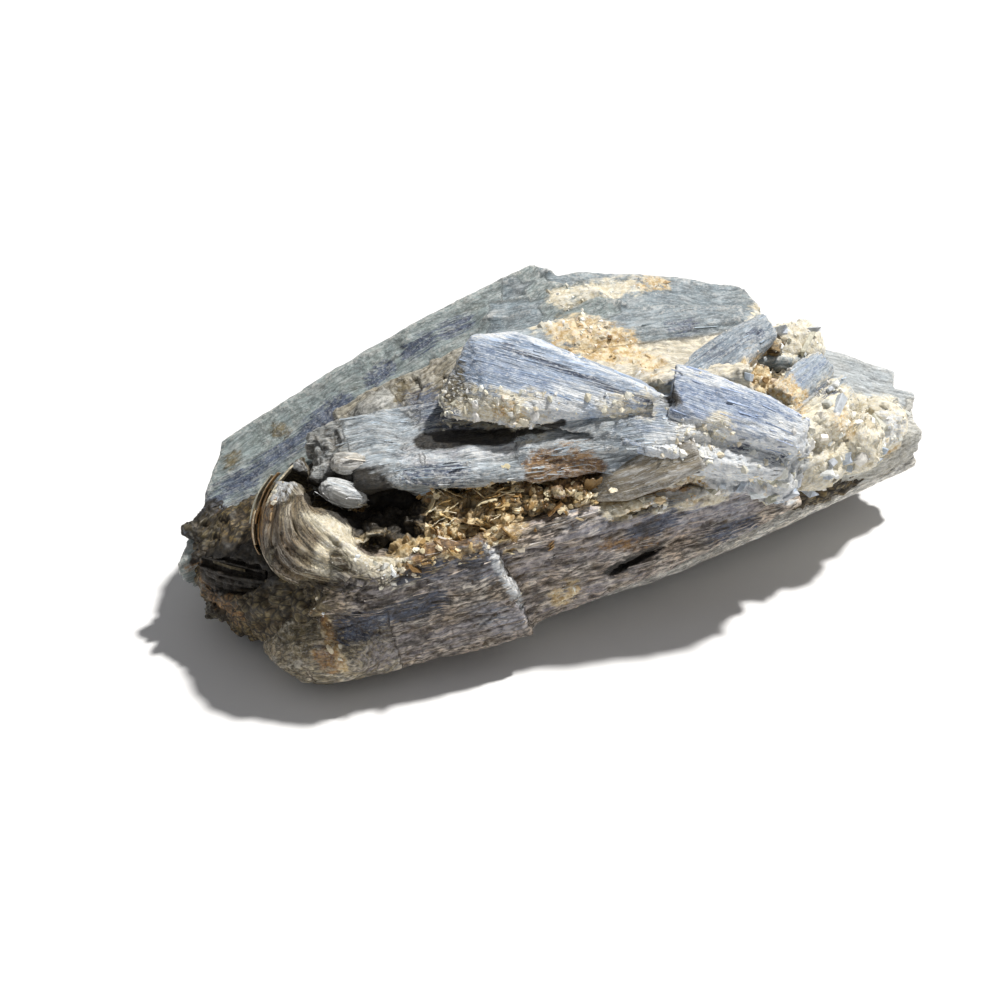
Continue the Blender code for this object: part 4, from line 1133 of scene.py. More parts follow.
def break_surface(mesh, grown, curved, index, stains):
    """Moves the skin: cleavage steps, fibres and splintered ends along each crystal, chips and crumbs.

    Also gives each point's place along its grain and how far it lies in a crack.
    """
    points = vertex_values(mesh, "co", 3)
    net = Net(mesh)
    normals = net.spread(vertex_values(mesh, "normal", 3), 2)
    normals /= np.linalg.norm(normals, axis=1)[:, None] + 1e-9
    finish = net.spread(grown.trait("finish", index), FINISH_SPREAD)
    steps, fibres, chips, crumbs, splinter, bend = finish.T
    loose = np.clip(stains["cream"] + stains["gold"] + 0.6 * stains["white"] - 0.25, 0, 1)
    crumbs = np.maximum(crumbs, 0.25 * loose)
    steps = steps * (1 - 0.6 * loose)

    local, along, families = grain_places(points, grown, curved, index)
    warp = np.stack([waves(points / 7.0 + 31.0 * axis, 11 + axis) for axis in range(3)], 1)
    grain = local + 2.4 * bend[:, None] * warp + 13.7 * families[:, None]

    def rough(length, width, seed):
        """Waves drawn out along the grain."""
        return waves(grain / (length, width, width), seed)

    broad = terraced(rough(17.0, 3.8, 1), 0.36)
    middling = terraced(rough(9.0, 1.5, 2), 0.4)
    lines = 1 - np.abs(rough(8.0, 0.6, 3)) * 2
    narrow = rough(4.0, 0.36, 4)
    crack = ease(np.abs(rough(22.0, 2.2, 5)), 0.0, 0.05)
    sliver, sliver_seam = crumbled(grain / (6.5, 1.5, 1.5), 14)
    needle, needle_seam = crumbled(grain / (3.2, 0.62, 0.62), 15)
    moved = steps * (0.34 * broad + 0.12 * middling + 0.24 * sliver + 0.13 * needle)
    moved += fibres * (0.5 * lines + 0.3 * narrow) - 0.15 * steps * (1 - crack)
    moved += chips * (0.8 * waves(points / 4.0, 6) + 0.35 * waves(points / 1.2, 7))
    rugged, seam = crumbled(points / 2.1 + 0.3 * warp, 8)
    small, small_seam = crumbled(points / 0.9 + 0.2 * warp, 9)
    moved += crumbs * (1.1 * rugged - 0.25 * seam + 0.5 * small - 0.1 * small_seam)
    seams = 0.6 * np.maximum(seam, 0.7 * small_seam) * ease(crumbs, 0.05, 0.35)
    patchy = ease(waves(points / 4.5, 16), -0.15, 0.3)
    splits = patchy * np.maximum(0.8 * sliver_seam, 0.5 * needle_seam)
    seams = np.maximum(seams, splits * ease(steps, 0.2, 0.7))
    cracks = np.maximum(seams, (1 - crack) * ease(waves(points / 6.0, 13), -0.1, 0.25))

    endness = (normals * along).sum(axis=1)
    rods = rough(40.0, 1.4, 10) + 0.5 * rough(40.0, 0.5, 12)
    pushed = 0.6 * splinter * rods * np.sign(endness) * ease(np.abs(endness), 0.5, 0.85)
    on_flat = ease(points[:, 2], 0.2, 1.4)
    moved *= on_flat
    points += normals * moved[:, None] + along * (pushed * on_flat)[:, None]
    return points, grain, net, cracks


def set_points(mesh, points):
    mesh.vertices.foreach_set("co", points.astype(np.float32).ravel())
    mesh.update()


def store(mesh, name, values):
    """Keeps a value, a vector or a colour at each vertex."""
    kinds = {1: ("FLOAT", "value"), 3: ("FLOAT_VECTOR", "vector"), 4: ("FLOAT_COLOR", "color")}
    kind, field = kinds[1 if values.ndim == 1 else values.shape[1]]
    attribute = mesh.attributes.new(name, kind, "POINT")
    attribute.data.foreach_set(field, values.astype(np.float32).ravel())


def proud_and_sunken_masks(mesh, net):
    """How proud and how sunken each vertex is against its surroundings, 0 to 1."""
    points = vertex_values(mesh, "co", 3)
    normals = vertex_values(mesh, "normal", 3)
    near = ((points - net.spread(points, 5)) * normals).sum(axis=1)
    far = ((points - net.spread(points, 30)) * normals).sum(axis=1)
    height = near / 0.12 + far / 0.5
    return np.clip(height, 0, 1), np.clip(-height, 0, 1)


def to_frame(points):
    """Layout millimetres to the frame's metres, kept inside the solid's box."""
    low, high = (np.array(corner) for corner in CAD_BOX)
    moved = (points - np.array(LAYOUT_MIDDLE)) * MM
    inset = np.array((BOX_MARGIN * MM, BOX_MARGIN * MM, 0))
    return np.clip(moved, low + inset, high - inset)


def make_skin(grown, curved, hollows, name, starts, voxel, heal, material, ground):
    """One fine skin with its grain, its minerals, its painted shade and its wear kept at each vertex."""
    numbers = [
        number
        for number, crystal in enumerate(grown.names)
        if crystal.startswith(starts) and not crystal.startswith(REDRAWN)
    ]
    members = [bpy.data.objects[grown.names[number]] for number in numbers]
    skin = fine_mesh(name, members, hollows, voxel)
    mesh = skin.data
    heal_grooves(mesh, heal)
    points = vertex_values(mesh, "co", 3)
    normals = vertex_values(mesh, "normal", 3)
    index = near_grain(points, grown.boxes, numbers)
    stainable = ~grown.starting(UNSTAINED, index)
    # The stains hold the minerals and the painted shade of the crevices and hollows
    stains = {
        mineral: stainable * stain_strength(points, normals, spots)
        for mineral, spots in STAINS.items()
    }
    points, grain, net, cracks = break_surface(mesh, grown, curved, index, stains)
    points[:, 2] = np.maximum(points[:, 2], 0)
    set_points(mesh, points)
    proud, sunken = proud_and_sunken_masks(mesh, net)
    body = net.spread(grown.trait("body", index), BODY_SPREAD)
    dirt = net.spread(grown.trait("dirt", index), DIRT_SPREAD)
    opaque = np.concatenate([body, np.ones((len(body), 1))], axis=1)
    marks = dict(grain=grain, body=opaque, proud=proud, sunken=sunken, cracks=cracks, dirt=dirt, **stains)
    for mark, values in marks.items():
        store(mesh, mark, values)
    along = np.array([rotation[:, 0] for _, rotation, _ in grown.grains])[index]
    finish = grown.trait("finish", index)
    ground.add(
        stains,
        point=points,
        normal=vertex_values(mesh, "normal", 3),
        along=along,
        endness=np.abs((normals * along).sum(axis=1)),
        body=body,
        splinters=finish[:, 1],
        crumbliness=finish[:, 3],
        home=np.full(len(points), numbers[0]),
    )
    set_points(mesh, to_frame(points))
    thin_out(skin)
    skin.data.materials.append(material)
    skin.data.shade_smooth()
    return finished(skin)


def thin_out(skin):
    """Keeps a skin's triangles under SKIN_MOST_TRIANGLES, thinning it where it has more."""
    triangles = 2 * len(skin.data.polygons)
    if triangles > SKIN_MOST_TRIANGLES:
        fewer = skin.modifiers.new("fewer", "DECIMATE")
        fewer.ratio = SKIN_MOST_TRIANGLES / triangles
        apply_modifiers(skin)


def finished(piece):
    """Ties a piece to the specimen's one body."""
    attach(piece, "root")
    return piece


# ---------------------------------------------------------------- loose grains, flakes and splinters


class Ground:
    """Places on the fine skins where loose pieces can lie, with a column for each thing known of them."""

    def __init__(self, boxes):
        self.boxes = boxes
        self.columns = {}

    def add(self, stains, **known):
        for name, values in dict(stains, **known).items():
            self.columns.setdefault(name, []).append(values)

    def join(self):
        self.columns = {name: np.concatenate(parts) for name, parts in self.columns.items()}
        self.columns["pocket"] = stain_strength(self.columns["point"], self.columns["normal"], POCKET)

    def buried(self, places):
        """Which of the places lie well inside a crystal, apart from the first one of their own skin."""
        points, home = self.columns["point"][places], self.columns["home"][places]
        deep = np.zeros(len(places), bool)
        for number, (middle, rotation, half) in enumerate(self.boxes):
            inside = (np.abs((points - middle) @ rotation) < BURIED_SHARE * half).all(axis=1)
            deep |= inside & (home != number)
        return deep

    def pick(self, seed, weights, count):
        """count places in the open, likelier where weights are high, each with its point and its normal."""
        points, normals = self.columns["point"], self.columns["normal"]
        # Loose pieces keep out of places darkened with painted shade
        weights = weights * (points[:, 2] > LEAST_HEIGHT) * (self.columns["dark"] < 0.5)
        chosen = np.random.default_rng(seed).choice(len(points), 2 * count, p=weights / weights.sum())
        for place in chosen[~self.buried(chosen)][:count]:
            yield place, Vector(points[place]), Vector(normals[place])


def jittered(bm, rng, share):
    for vert in bm.verts:
        vert.co = Vector(c * (1 + rng.uniform(-share, share)) for c in vert.co)


def small_shapes(rng, make, count=SHAPES):
    """Small meshes one unit across, to be stamped many times."""
    meshes = []
    for _ in range(count):
        bm = bmesh.new()
        make(bm, rng)
        bmesh.ops.recalc_face_normals(bm, faces=bm.faces)
        meshes.append(mesh_from(bm, "small_shape"))
    return meshes


def grain_shape(bm, rng):
    bmesh.ops.create_icosphere(bm, subdivisions=1, radius=0.5)
    jittered(bm, rng, 0.38)


def flake_shape(bm, rng):
    bmesh.ops.create_cone(bm, cap_ends=True, segments=6, radius1=0.5, radius2=0.47, depth=0.07)
    reach = [rng.uniform(0.55, 1.1) for _ in range(6)]
    for vert in bm.verts:
        corner = round(math.atan2(vert.co.y, vert.co.x) / math.tau * 6) % 6
        vert.co.x *= reach[corner]
        vert.co.y *= reach[corner] * 0.8


def sheet_shape(bm, rng):
    """A thin curled sheet of mica."""
    bmesh.ops.create_grid(bm, x_segments=8, y_segments=1, size=0.5)
    curl, wave, phase = rng.uniform(0.1, 0.8), rng.uniform(0.01, 0.03), rng.uniform(0, 6)
    for vert in bm.verts:
        angle = curl * vert.co.x
        vert.co.z = (1 - math.cos(angle)) / curl + wave * math.sin(11 * vert.co.x + phase)
        vert.co.x = math.sin(angle) / curl
        vert.co.y *= rng.uniform(0.8, 1.2)
    bmesh.ops.solidify(bm, geom=bm.faces[:], thickness=0.05)


def block_shape(bm, rng):
    """A short broken blade."""
    bmesh.ops.create_cube(bm, size=1.0)
    for vert in bm.verts:
        vert.co.x += 0.35 * rng.uniform(-1, 1) * vert.co.y
        vert.co.y *= 1 - 0.3 * rng.random()
        vert.co.z *= 1 - 0.3 * rng.random()
    settings = dict(offset=0.06, segments=1, profile=0.5, affect="EDGES", material=-1, clamp_overlap=True)
    bmesh.ops.bevel(bm, geom=bm.edges[:], **settings)


def splinter_shape(bm, rng):
    bmesh.ops.create_cone(bm, cap_ends=True, segments=4, radius1=0.5, radius2=0.28, depth=1.0)
    bmesh.ops.rotate(bm, verts=bm.verts, matrix=Matrix.Rotation(math.radians(90), 3, "Y"))
    jittered(bm, rng, 0.3)


def loose_piece(name, bm, colours, material):
    """A piece made of small loose things. colours holds one for each vertex."""
    mesh = mesh_from(bm, name)
    points = vertex_values(mesh, "co", 3)
    store(mesh, "grain", points)
    store(mesh, "body", np.array(colours))
    set_points(mesh, to_frame(points))
    mesh.materials.append(material)
    return finished(in_scene(name, mesh))


def stamped(name, shapes, places, material):
    """One piece made of many small shapes. A place is a shape's number, its matrix and its colour."""
    bm = bmesh.new()
    colours = []
    for number, matrix, colour in places:
        shape = shapes[number].copy()
        shape.transform(matrix)
        bm.from_mesh(shape)
        colours += [(*colour, 1.0)] * len(shape.vertices)
        bpy.data.meshes.remove(shape)
    return loose_piece(name, bm, colours, material)


def any_turn(rng):
    """A rotation in any direction."""
    turn = Matrix.Rotation(rng.uniform(0, math.tau), 4, "Z")
    turn = turn @ Matrix.Rotation(rng.uniform(0, math.pi), 4, "X")
    return turn @ Matrix.Rotation(rng.uniform(0, math.tau), 4, "Z")


def tinted(rng, colour, spread):
    """A colour a little lighter or darker and a little warmer or cooler."""
    light, warm = 1 + rng.uniform(-spread, spread), rng.uniform(-0.4, 0.4) * spread
    return tuple(min(max(c * light * w, 0.0), 1.0) for c, w in zip(colour, (1 + warm, 1, 1 - warm)))


def size_between(sizes, share):
    """The size at a share of the way from the least to the greatest."""
    return sizes[0] + (sizes[1] - sizes[0]) * share


def shifted(rng, vector, reach):
    """A vector moved a little any way."""
    return vector + Vector([rng.uniform(-reach, reach) for _ in range(3)])


def turned_to(way, axis, up):
    """The turn that brings an axis round to a way."""
    return way.to_track_quat(axis, up).to_matrix().to_4x4()


def mica_colour(rng, point):
    """A colour of mica, darkened with painted shade towards the pocket's left end."""
    light = 0.3 + 0.7 * float(ease(np.array(point.x), *POCKET_PAINTED_SHADE))
    return [c * light for c in rng.choice(GRAIN_COLOURS["mica"])]


def scatter_grains(ground, material):
    """Angular grains of quartz and broken kyanite in the cream, golden and crumbly places."""
    rng, columns = random.Random(SEED), ground.columns
    weights = columns["cream"] + columns["gold"] + 0.3 * columns["white"] + 0.2 * columns["olive"]
    shapes = small_shapes(rng, grain_shape)
    places = []
    for place, point, normal in ground.pick(SEED, np.maximum(weights - 0.15, 0), GRAINS):
        size = size_between(GRAIN_SIZES, rng.random() ** 3)
        squash = Matrix.Diagonal((size, size * rng.uniform(0.6, 0.9), size * rng.uniform(0.4, 0.8), 1))
        centre = point - normal * size * rng.uniform(0.1, 0.35)
        share = columns["gold"][place] / (columns["gold"][place] + columns["cream"][place] + 0.2)
        kind = "gold" if rng.random() < share else "cream"
        if columns["pocket"][place] > 0.3:
            kind = "mica"
        colour = tinted(rng, rng.choice(GRAIN_COLOURS[kind]), 0.12)
        places.append((rng.randrange(SHAPES), Matrix.Translation(centre) @ any_turn(rng) @ squash, colour))
    return stamped("quartz_grains", shapes, places, material)


def scatter_flakes(ground, material):
    """Books of thin mica flakes in the pocket and the golden hollows."""
    rng, columns = random.Random(SEED + 1), ground.columns
    weights = np.maximum(1.5 * columns["pocket"] + 0.35 * columns["gold"] - 0.3, 0)
    shapes = small_shapes(rng, flake_shape)
    places = []
    for _, point, normal in ground.pick(SEED + 1, weights, FLAKE_BOOKS):
        turn = turned_to(shifted(rng, normal, 1).normalized(), "Z", "Y")
        size = size_between(FLAKE_SIZES, rng.random() ** 2)
        colour = mica_colour(rng, point)
        for leaf in range(rng.randint(2, 5)):
            shift = (rng.uniform(-0.2, 0.2) * size, rng.uniform(-0.2, 0.2) * size, 0.13 * leaf)
            spin = Matrix.Rotation(rng.uniform(-0.3, 0.3), 4, "Z")
            spin = spin @ Matrix.Rotation(rng.uniform(-0.14, 0.14), 4, "X")
            matrix = Matrix.Translation(point) @ turn @ Matrix.Translation(shift) @ spin
            wide = size * rng.uniform(0.7, 1.0)
            matrix = matrix @ Matrix.Diagonal((wide, wide, max(wide, 1.0), 1))
            places.append((rng.randrange(SHAPES), matrix, tinted(rng, colour, 0.15)))
    return stamped("mica_flakes", shapes, places, material)


def scatter_sheets(ground, material):
    """Wavy sheets of mica standing on edge in the pocket."""
    rng, columns = random.Random(SEED + 4), ground.columns
    weights = np.maximum(columns["pocket"] - 0.2, 0) * (columns["point"][:, 2] < POCKET_TOP)
    shapes = small_shapes(rng, sheet_shape)
    places = []
    for _, point, normal in ground.pick(SEED + 4, weights, MICA_SHEETS):
        colour = mica_colour(rng, point)
        turn = turned_to(shifted(rng, Vector(INWARD), 0.5), "Y", "Z")
        turn = turn @ Matrix.Rotation(rng.uniform(-0.9, 0.7) + math.pi * rng.randint(0, 1), 4, "Y")
        size = size_between(MICA_SIZES, rng.random() ** 1.5)
        shape = Matrix.Diagonal((size, rng.uniform(0.7, 1.3) * size, size, 1))
        matrix = Matrix.Translation(point + 0.12 * size * normal) @ turn @ shape
        places.append((rng.randrange(SHAPES), matrix, tinted(rng, colour, 0.15)))
    return stamped("mica_sheets", shapes, places, material)


def scatter_blocks(ground, material):
    """Short broken blades and blocks standing in the crumbly places."""
    rng, columns = random.Random(SEED + 5), ground.columns
    crumbly = ease(columns["crumbliness"], 0.2, 0.4) * (1 - 0.8 * np.clip(columns["gold"], 0, 1))
    weights = crumbly * (0.1 + columns["cream"] + columns["white"])
    weights *= ease(columns["point"][:, 0], -22, -18) * (columns["pocket"] < 0.2)
    shapes = small_shapes(rng, block_shape)
    places = []
    for _, point, normal in ground.pick(SEED + 5, weights, BLOCKS):
        turn = Matrix.Rotation(rng.uniform(-1.3, 0.9), 4, "Z")
        turn = turn @ Matrix.Rotation(rng.uniform(-0.7, 0.4), 4, "Y")
        turn = turn @ Matrix.Rotation(rng.uniform(0, math.pi), 4, "X")
        length = size_between(BLOCK_SIZES, rng.random() ** 2)
        shape = Matrix.Diagonal((length, rng.uniform(0.8, 1.8), rng.uniform(0.6, 1.2), 1))
        centre = point - normal * rng.uniform(0.1, 0.6)
        colour = tinted(rng, rng.choice(GRAIN_COLOURS["block"]), 0.15)
        places.append((rng.randrange(SHAPES), Matrix.Translation(centre) @ turn @ shape, colour))
    return stamped("broken_blocks", shapes, places, material)


def scatter_splinters(ground, material):
    """Loose fibres lying along the blades."""
    rng, columns = random.Random(SEED + 2), ground.columns
    plain = 1 - np.clip(columns["cream"] + columns["gold"] + columns["olive"], 0, 1)
    weights = plain * ease(-columns["endness"], -0.6, -0.2) * ease(columns["splinters"], 0.02, 0.1)
    weights *= ease(columns["point"][:, 0], -44, -40)
    shapes = small_shapes(rng, splinter_shape, count=SPLINTER_SHAPES)
    places = []
    for place, point, normal in ground.pick(SEED + 2, weights, SPLINTERS):
        way = shifted(rng, Vector(columns["along"][place]), 0.1)
        turn = turned_to((way - way.project(normal)).normalized(), "X", "Z")
        length = size_between(SPLINTER_SIZES, rng.random() ** 2)
        size = Matrix.Diagonal((length, rng.uniform(0.12, 0.3), rng.uniform(0.08, 0.2), 1))
        colour = [min(1.3 * c + 0.1, 0.9) for c in columns["body"][place]]
        matrix = Matrix.Translation(point) @ turn @ size
        places.append((rng.randrange(SPLINTER_SHAPES), matrix, tinted(rng, colour, 0.2)))
    return stamped("splinters", shapes, places, material)


def tear_sheets(material):
    """Thin torn sheets along the rim of the fold and inside the hollow under it."""
    rng = random.Random(SEED + 3)
    bm = bmesh.new()
    colours = []
    for kind, (rows, (count, depth, thick, ragged)) in TORN_SHEETS_AT.items():
        outer, inner = (smooth_row(row, TORN_STEPS) for row in rows)
        aside = (inner - outer) / np.linalg.norm(inner - outer, axis=1)[:, None]
        for sheet in range(count):
            share = (sheet + rng.uniform(-0.3, 0.3)) / (count - 1)
            front = outer + share * (inner - outer)
            level, phase = rng.uniform(-0.4, 0.6) * ragged, rng.uniform(0, 6)
            insets = [
                level + 0.4 * ragged * math.sin(0.6 * step + phase) * rng.random()
                for step in range(TORN_STEPS)
            ]
            first = rng.randint(0, TORN_STEPS // 2)
            last = first + rng.randint(TORN_STEPS // 4, TORN_STEPS // 2)
            part = slice(first, min(last, TORN_STEPS))
            before = len(bm.verts)
            leaf_mesh(bm, front[part], insets[part], aside[part], depth, thick * rng.uniform(0.8, 2.4))
            tint = tinted(rng, rng.choice(GRAIN_COLOURS[kind]), 0.25)
            colours += [(*tint, 1.0)] * (len(bm.verts) - before)
    return loose_piece("torn_sheets", bm, colours, material)


# ---------------------------------------------------------------- materials


class Tree:
    """Short ways to add shader nodes and join them."""

    def __init__(self, tree):
        self.tree = tree

    def add(self, kind, **settings):
        node = self.tree.nodes.new("ShaderNode" + kind)
        for name, value in settings.items():
            setattr(node, name, value)
        return node

    def feed(self, socket, value):
        """Links an output to a socket, or sets a plain value on it."""
        if isinstance(value, bpy.types.NodeSocket):
            self.tree.links.new(value, socket)
        else:
            socket.default_value = value

    def attribute(self, name):
        node = self.add("Attribute", attribute_name=name)
        outputs = node.outputs
        return {"value": outputs["Fac"], "vector": outputs["Vector"], "colour": outputs["Color"]}

    def math(self, operation, first, second=0.0, clamp=False):
        node = self.add("Math", operation=operation, use_clamp=clamp)
        self.feed(node.inputs[0], first)
        self.feed(node.inputs[1], second)
        return node.outputs[0]

    def vector(self, operation, first, second):
        node = self.add("VectorMath", operation=operation)
        self.feed(node.inputs[0], first)
        self.feed(node.inputs[1], second)
        return node.outputs[0]

    def noise(self, vector, scale, detail=3.0, roughness=0.55):
        node = self.add("TexNoise", noise_dimensions="3D")
        self.feed(node.inputs["Vector"], vector)
        self.feed(node.inputs["Scale"], scale)
        node.inputs["Detail"].default_value = detail
        node.inputs["Roughness"].default_value = roughness
        return node.outputs[0]

    def cells(self, vector, scale, feature="F1"):
        node = self.add("TexVoronoi", feature=feature)
        self.feed(node.inputs["Vector"], vector)
        self.feed(node.inputs["Scale"], scale)
        return node.outputs

    def ease(self, value, low, high, least=0.0, most=1.0):
        node = self.add("MapRange", interpolation_type="SMOOTHSTEP")
        self.feed(node.inputs["Value"], value)
        self.feed(node.inputs["From Min"], low)
        self.feed(node.inputs["From Max"], high)
        self.feed(node.inputs["To Min"], least)
        self.feed(node.inputs["To Max"], most)
        return node.outputs[0]

    def mix(self, share, first, second, blend="MIX"):
        node = self.add("Mix", data_type="RGBA", blend_type=blend, clamp_factor=True)
        self.feed(node.inputs[0], share)
        self.feed(node.inputs[6], first)
        self.feed(node.inputs[7], second)
        return node.outputs[2]

    def group(self, group, **values):
        node = self.add("Group")
        node.node_tree = group
        for name, value in values.items():
            self.feed(node.inputs[name], value)
        return node.outputs

    def bump(self, shader, height, strength):
        """Feeds a height in mm to the shader's normal."""
        node = self.add("Bump")
        node.inputs["Strength"].default_value = strength
        node.inputs["Distance"].default_value = MM
        self.feed(node.inputs["Height"], height)
        self.feed(shader.inputs["Normal"], node.outputs["Normal"])


def new_material(name):
    """A material, its tree and its shader."""
    material = bpy.data.materials.new(name)
    material.use_nodes = True
    return material, Tree(material.node_tree), material.node_tree.nodes["Principled BSDF"]


def new_group(name, inputs, outputs):
    """A node group with named sockets, and the outputs of its input node by name."""
    group = bpy.data.node_groups.new(name, "ShaderNodeTree")
    kinds = {"value": "NodeSocketFloat", "vector": "NodeSocketVector", "colour": "NodeSocketColor"}
    for socket, (kind, default) in inputs.items():
        made = group.interface.new_socket(name=socket, in_out="INPUT", socket_type=kinds[kind])
        made.default_value = default
    for socket, kind in outputs.items():
        group.interface.new_socket(name=socket, in_out="OUTPUT", socket_type=kinds[kind])
    tree = Tree(group)
    entry = group.nodes.new("NodeGroupInput")
    leave = group.nodes.new("NodeGroupOutput")
    return group, tree, entry.outputs, leave.inputs


def drawn_out(tree, entry):
    """The place in the grain, over the group's length along it and its width across it."""
    size = tree.add("CombineXYZ")
    for number, side in enumerate(("Length", "Width", "Width")):
        tree.feed(size.inputs[number], entry[side])
    return tree.vector("DIVIDE", entry["Grain"], size.outputs[0])


def streaks_group():
    """Colour streaks drawn out along the grain."""
    inputs = {"Grain": ("vector", (0, 0, 0)), "Length": ("value", 12.0), "Width": ("value", 1.0)}
    group, tree, entry, leave = new_group("grain streaks", inputs, {"Streak": "value"})
    streak = tree.noise(drawn_out(tree, entry), 1.0, detail=4.0, roughness=0.62)
    tree.feed(leave["Streak"], tree.ease(streak, 0.32, 0.68))
    return group


def patch_group():
    """A stain's soft strength broken into ragged patches that follow the grain."""
    inputs = {
        "Strength": ("value", 0.0),
        "Grain": ("vector", (0, 0, 0)),
        "Length": ("value", 3.0),
        "Width": ("value", 1.0),
        "Ragged": ("value", 1.0),
        "Softness": ("value", 0.12),
    }
    group, tree, entry, leave = new_group("ragged patch", inputs, {"Patch": "value"})
    broken = tree.math("SUBTRACT", tree.noise(drawn_out(tree, entry), 1.0, detail=7.0, roughness=0.7), 0.5)
    ragged = tree.math("MULTIPLY", entry["Ragged"], tree.ease(entry["Strength"], 0.0, 0.45))
    reach = tree.math("ADD", entry["Strength"], tree.math("MULTIPLY", broken, ragged))
    low = tree.math("SUBTRACT", 0.5, entry["Softness"])
    high = tree.math("ADD", 0.5, entry["Softness"])
    tree.feed(leave["Patch"], tree.ease(reach, low, high))
    return group


def fibre_bump_group():
    """Fine height for the fibres, cross cracks and pits too small for the mesh, in mm."""
    inputs = {"Grain": ("vector", (0, 0, 0)), "Fibre": ("value", 1.0), "Pit": ("value", 1.0)}
    group, tree, entry, leave = new_group("fine relief", inputs, {"Height": "value"})
    long_place = tree.vector("MULTIPLY", entry["Grain"], (0.12, 2.6, 2.6))
    fine_place = tree.vector("MULTIPLY", entry["Grain"], (0.35, 7.0, 7.0))
    fibres = tree.math("ADD", tree.noise(long_place, 1.0, 4.0, 0.7), tree.noise(fine_place, 1.0, 2.0, 0.6))
    fibres = tree.math("MULTIPLY", fibres, entry["Fibre"])
    pits = tree.math("MULTIPLY", tree.noise(entry["Grain"], 1.9, 6.0, 0.7), entry["Pit"])
    tree.feed(leave["Height"], tree.math("ADD", fibres, pits))
    return group


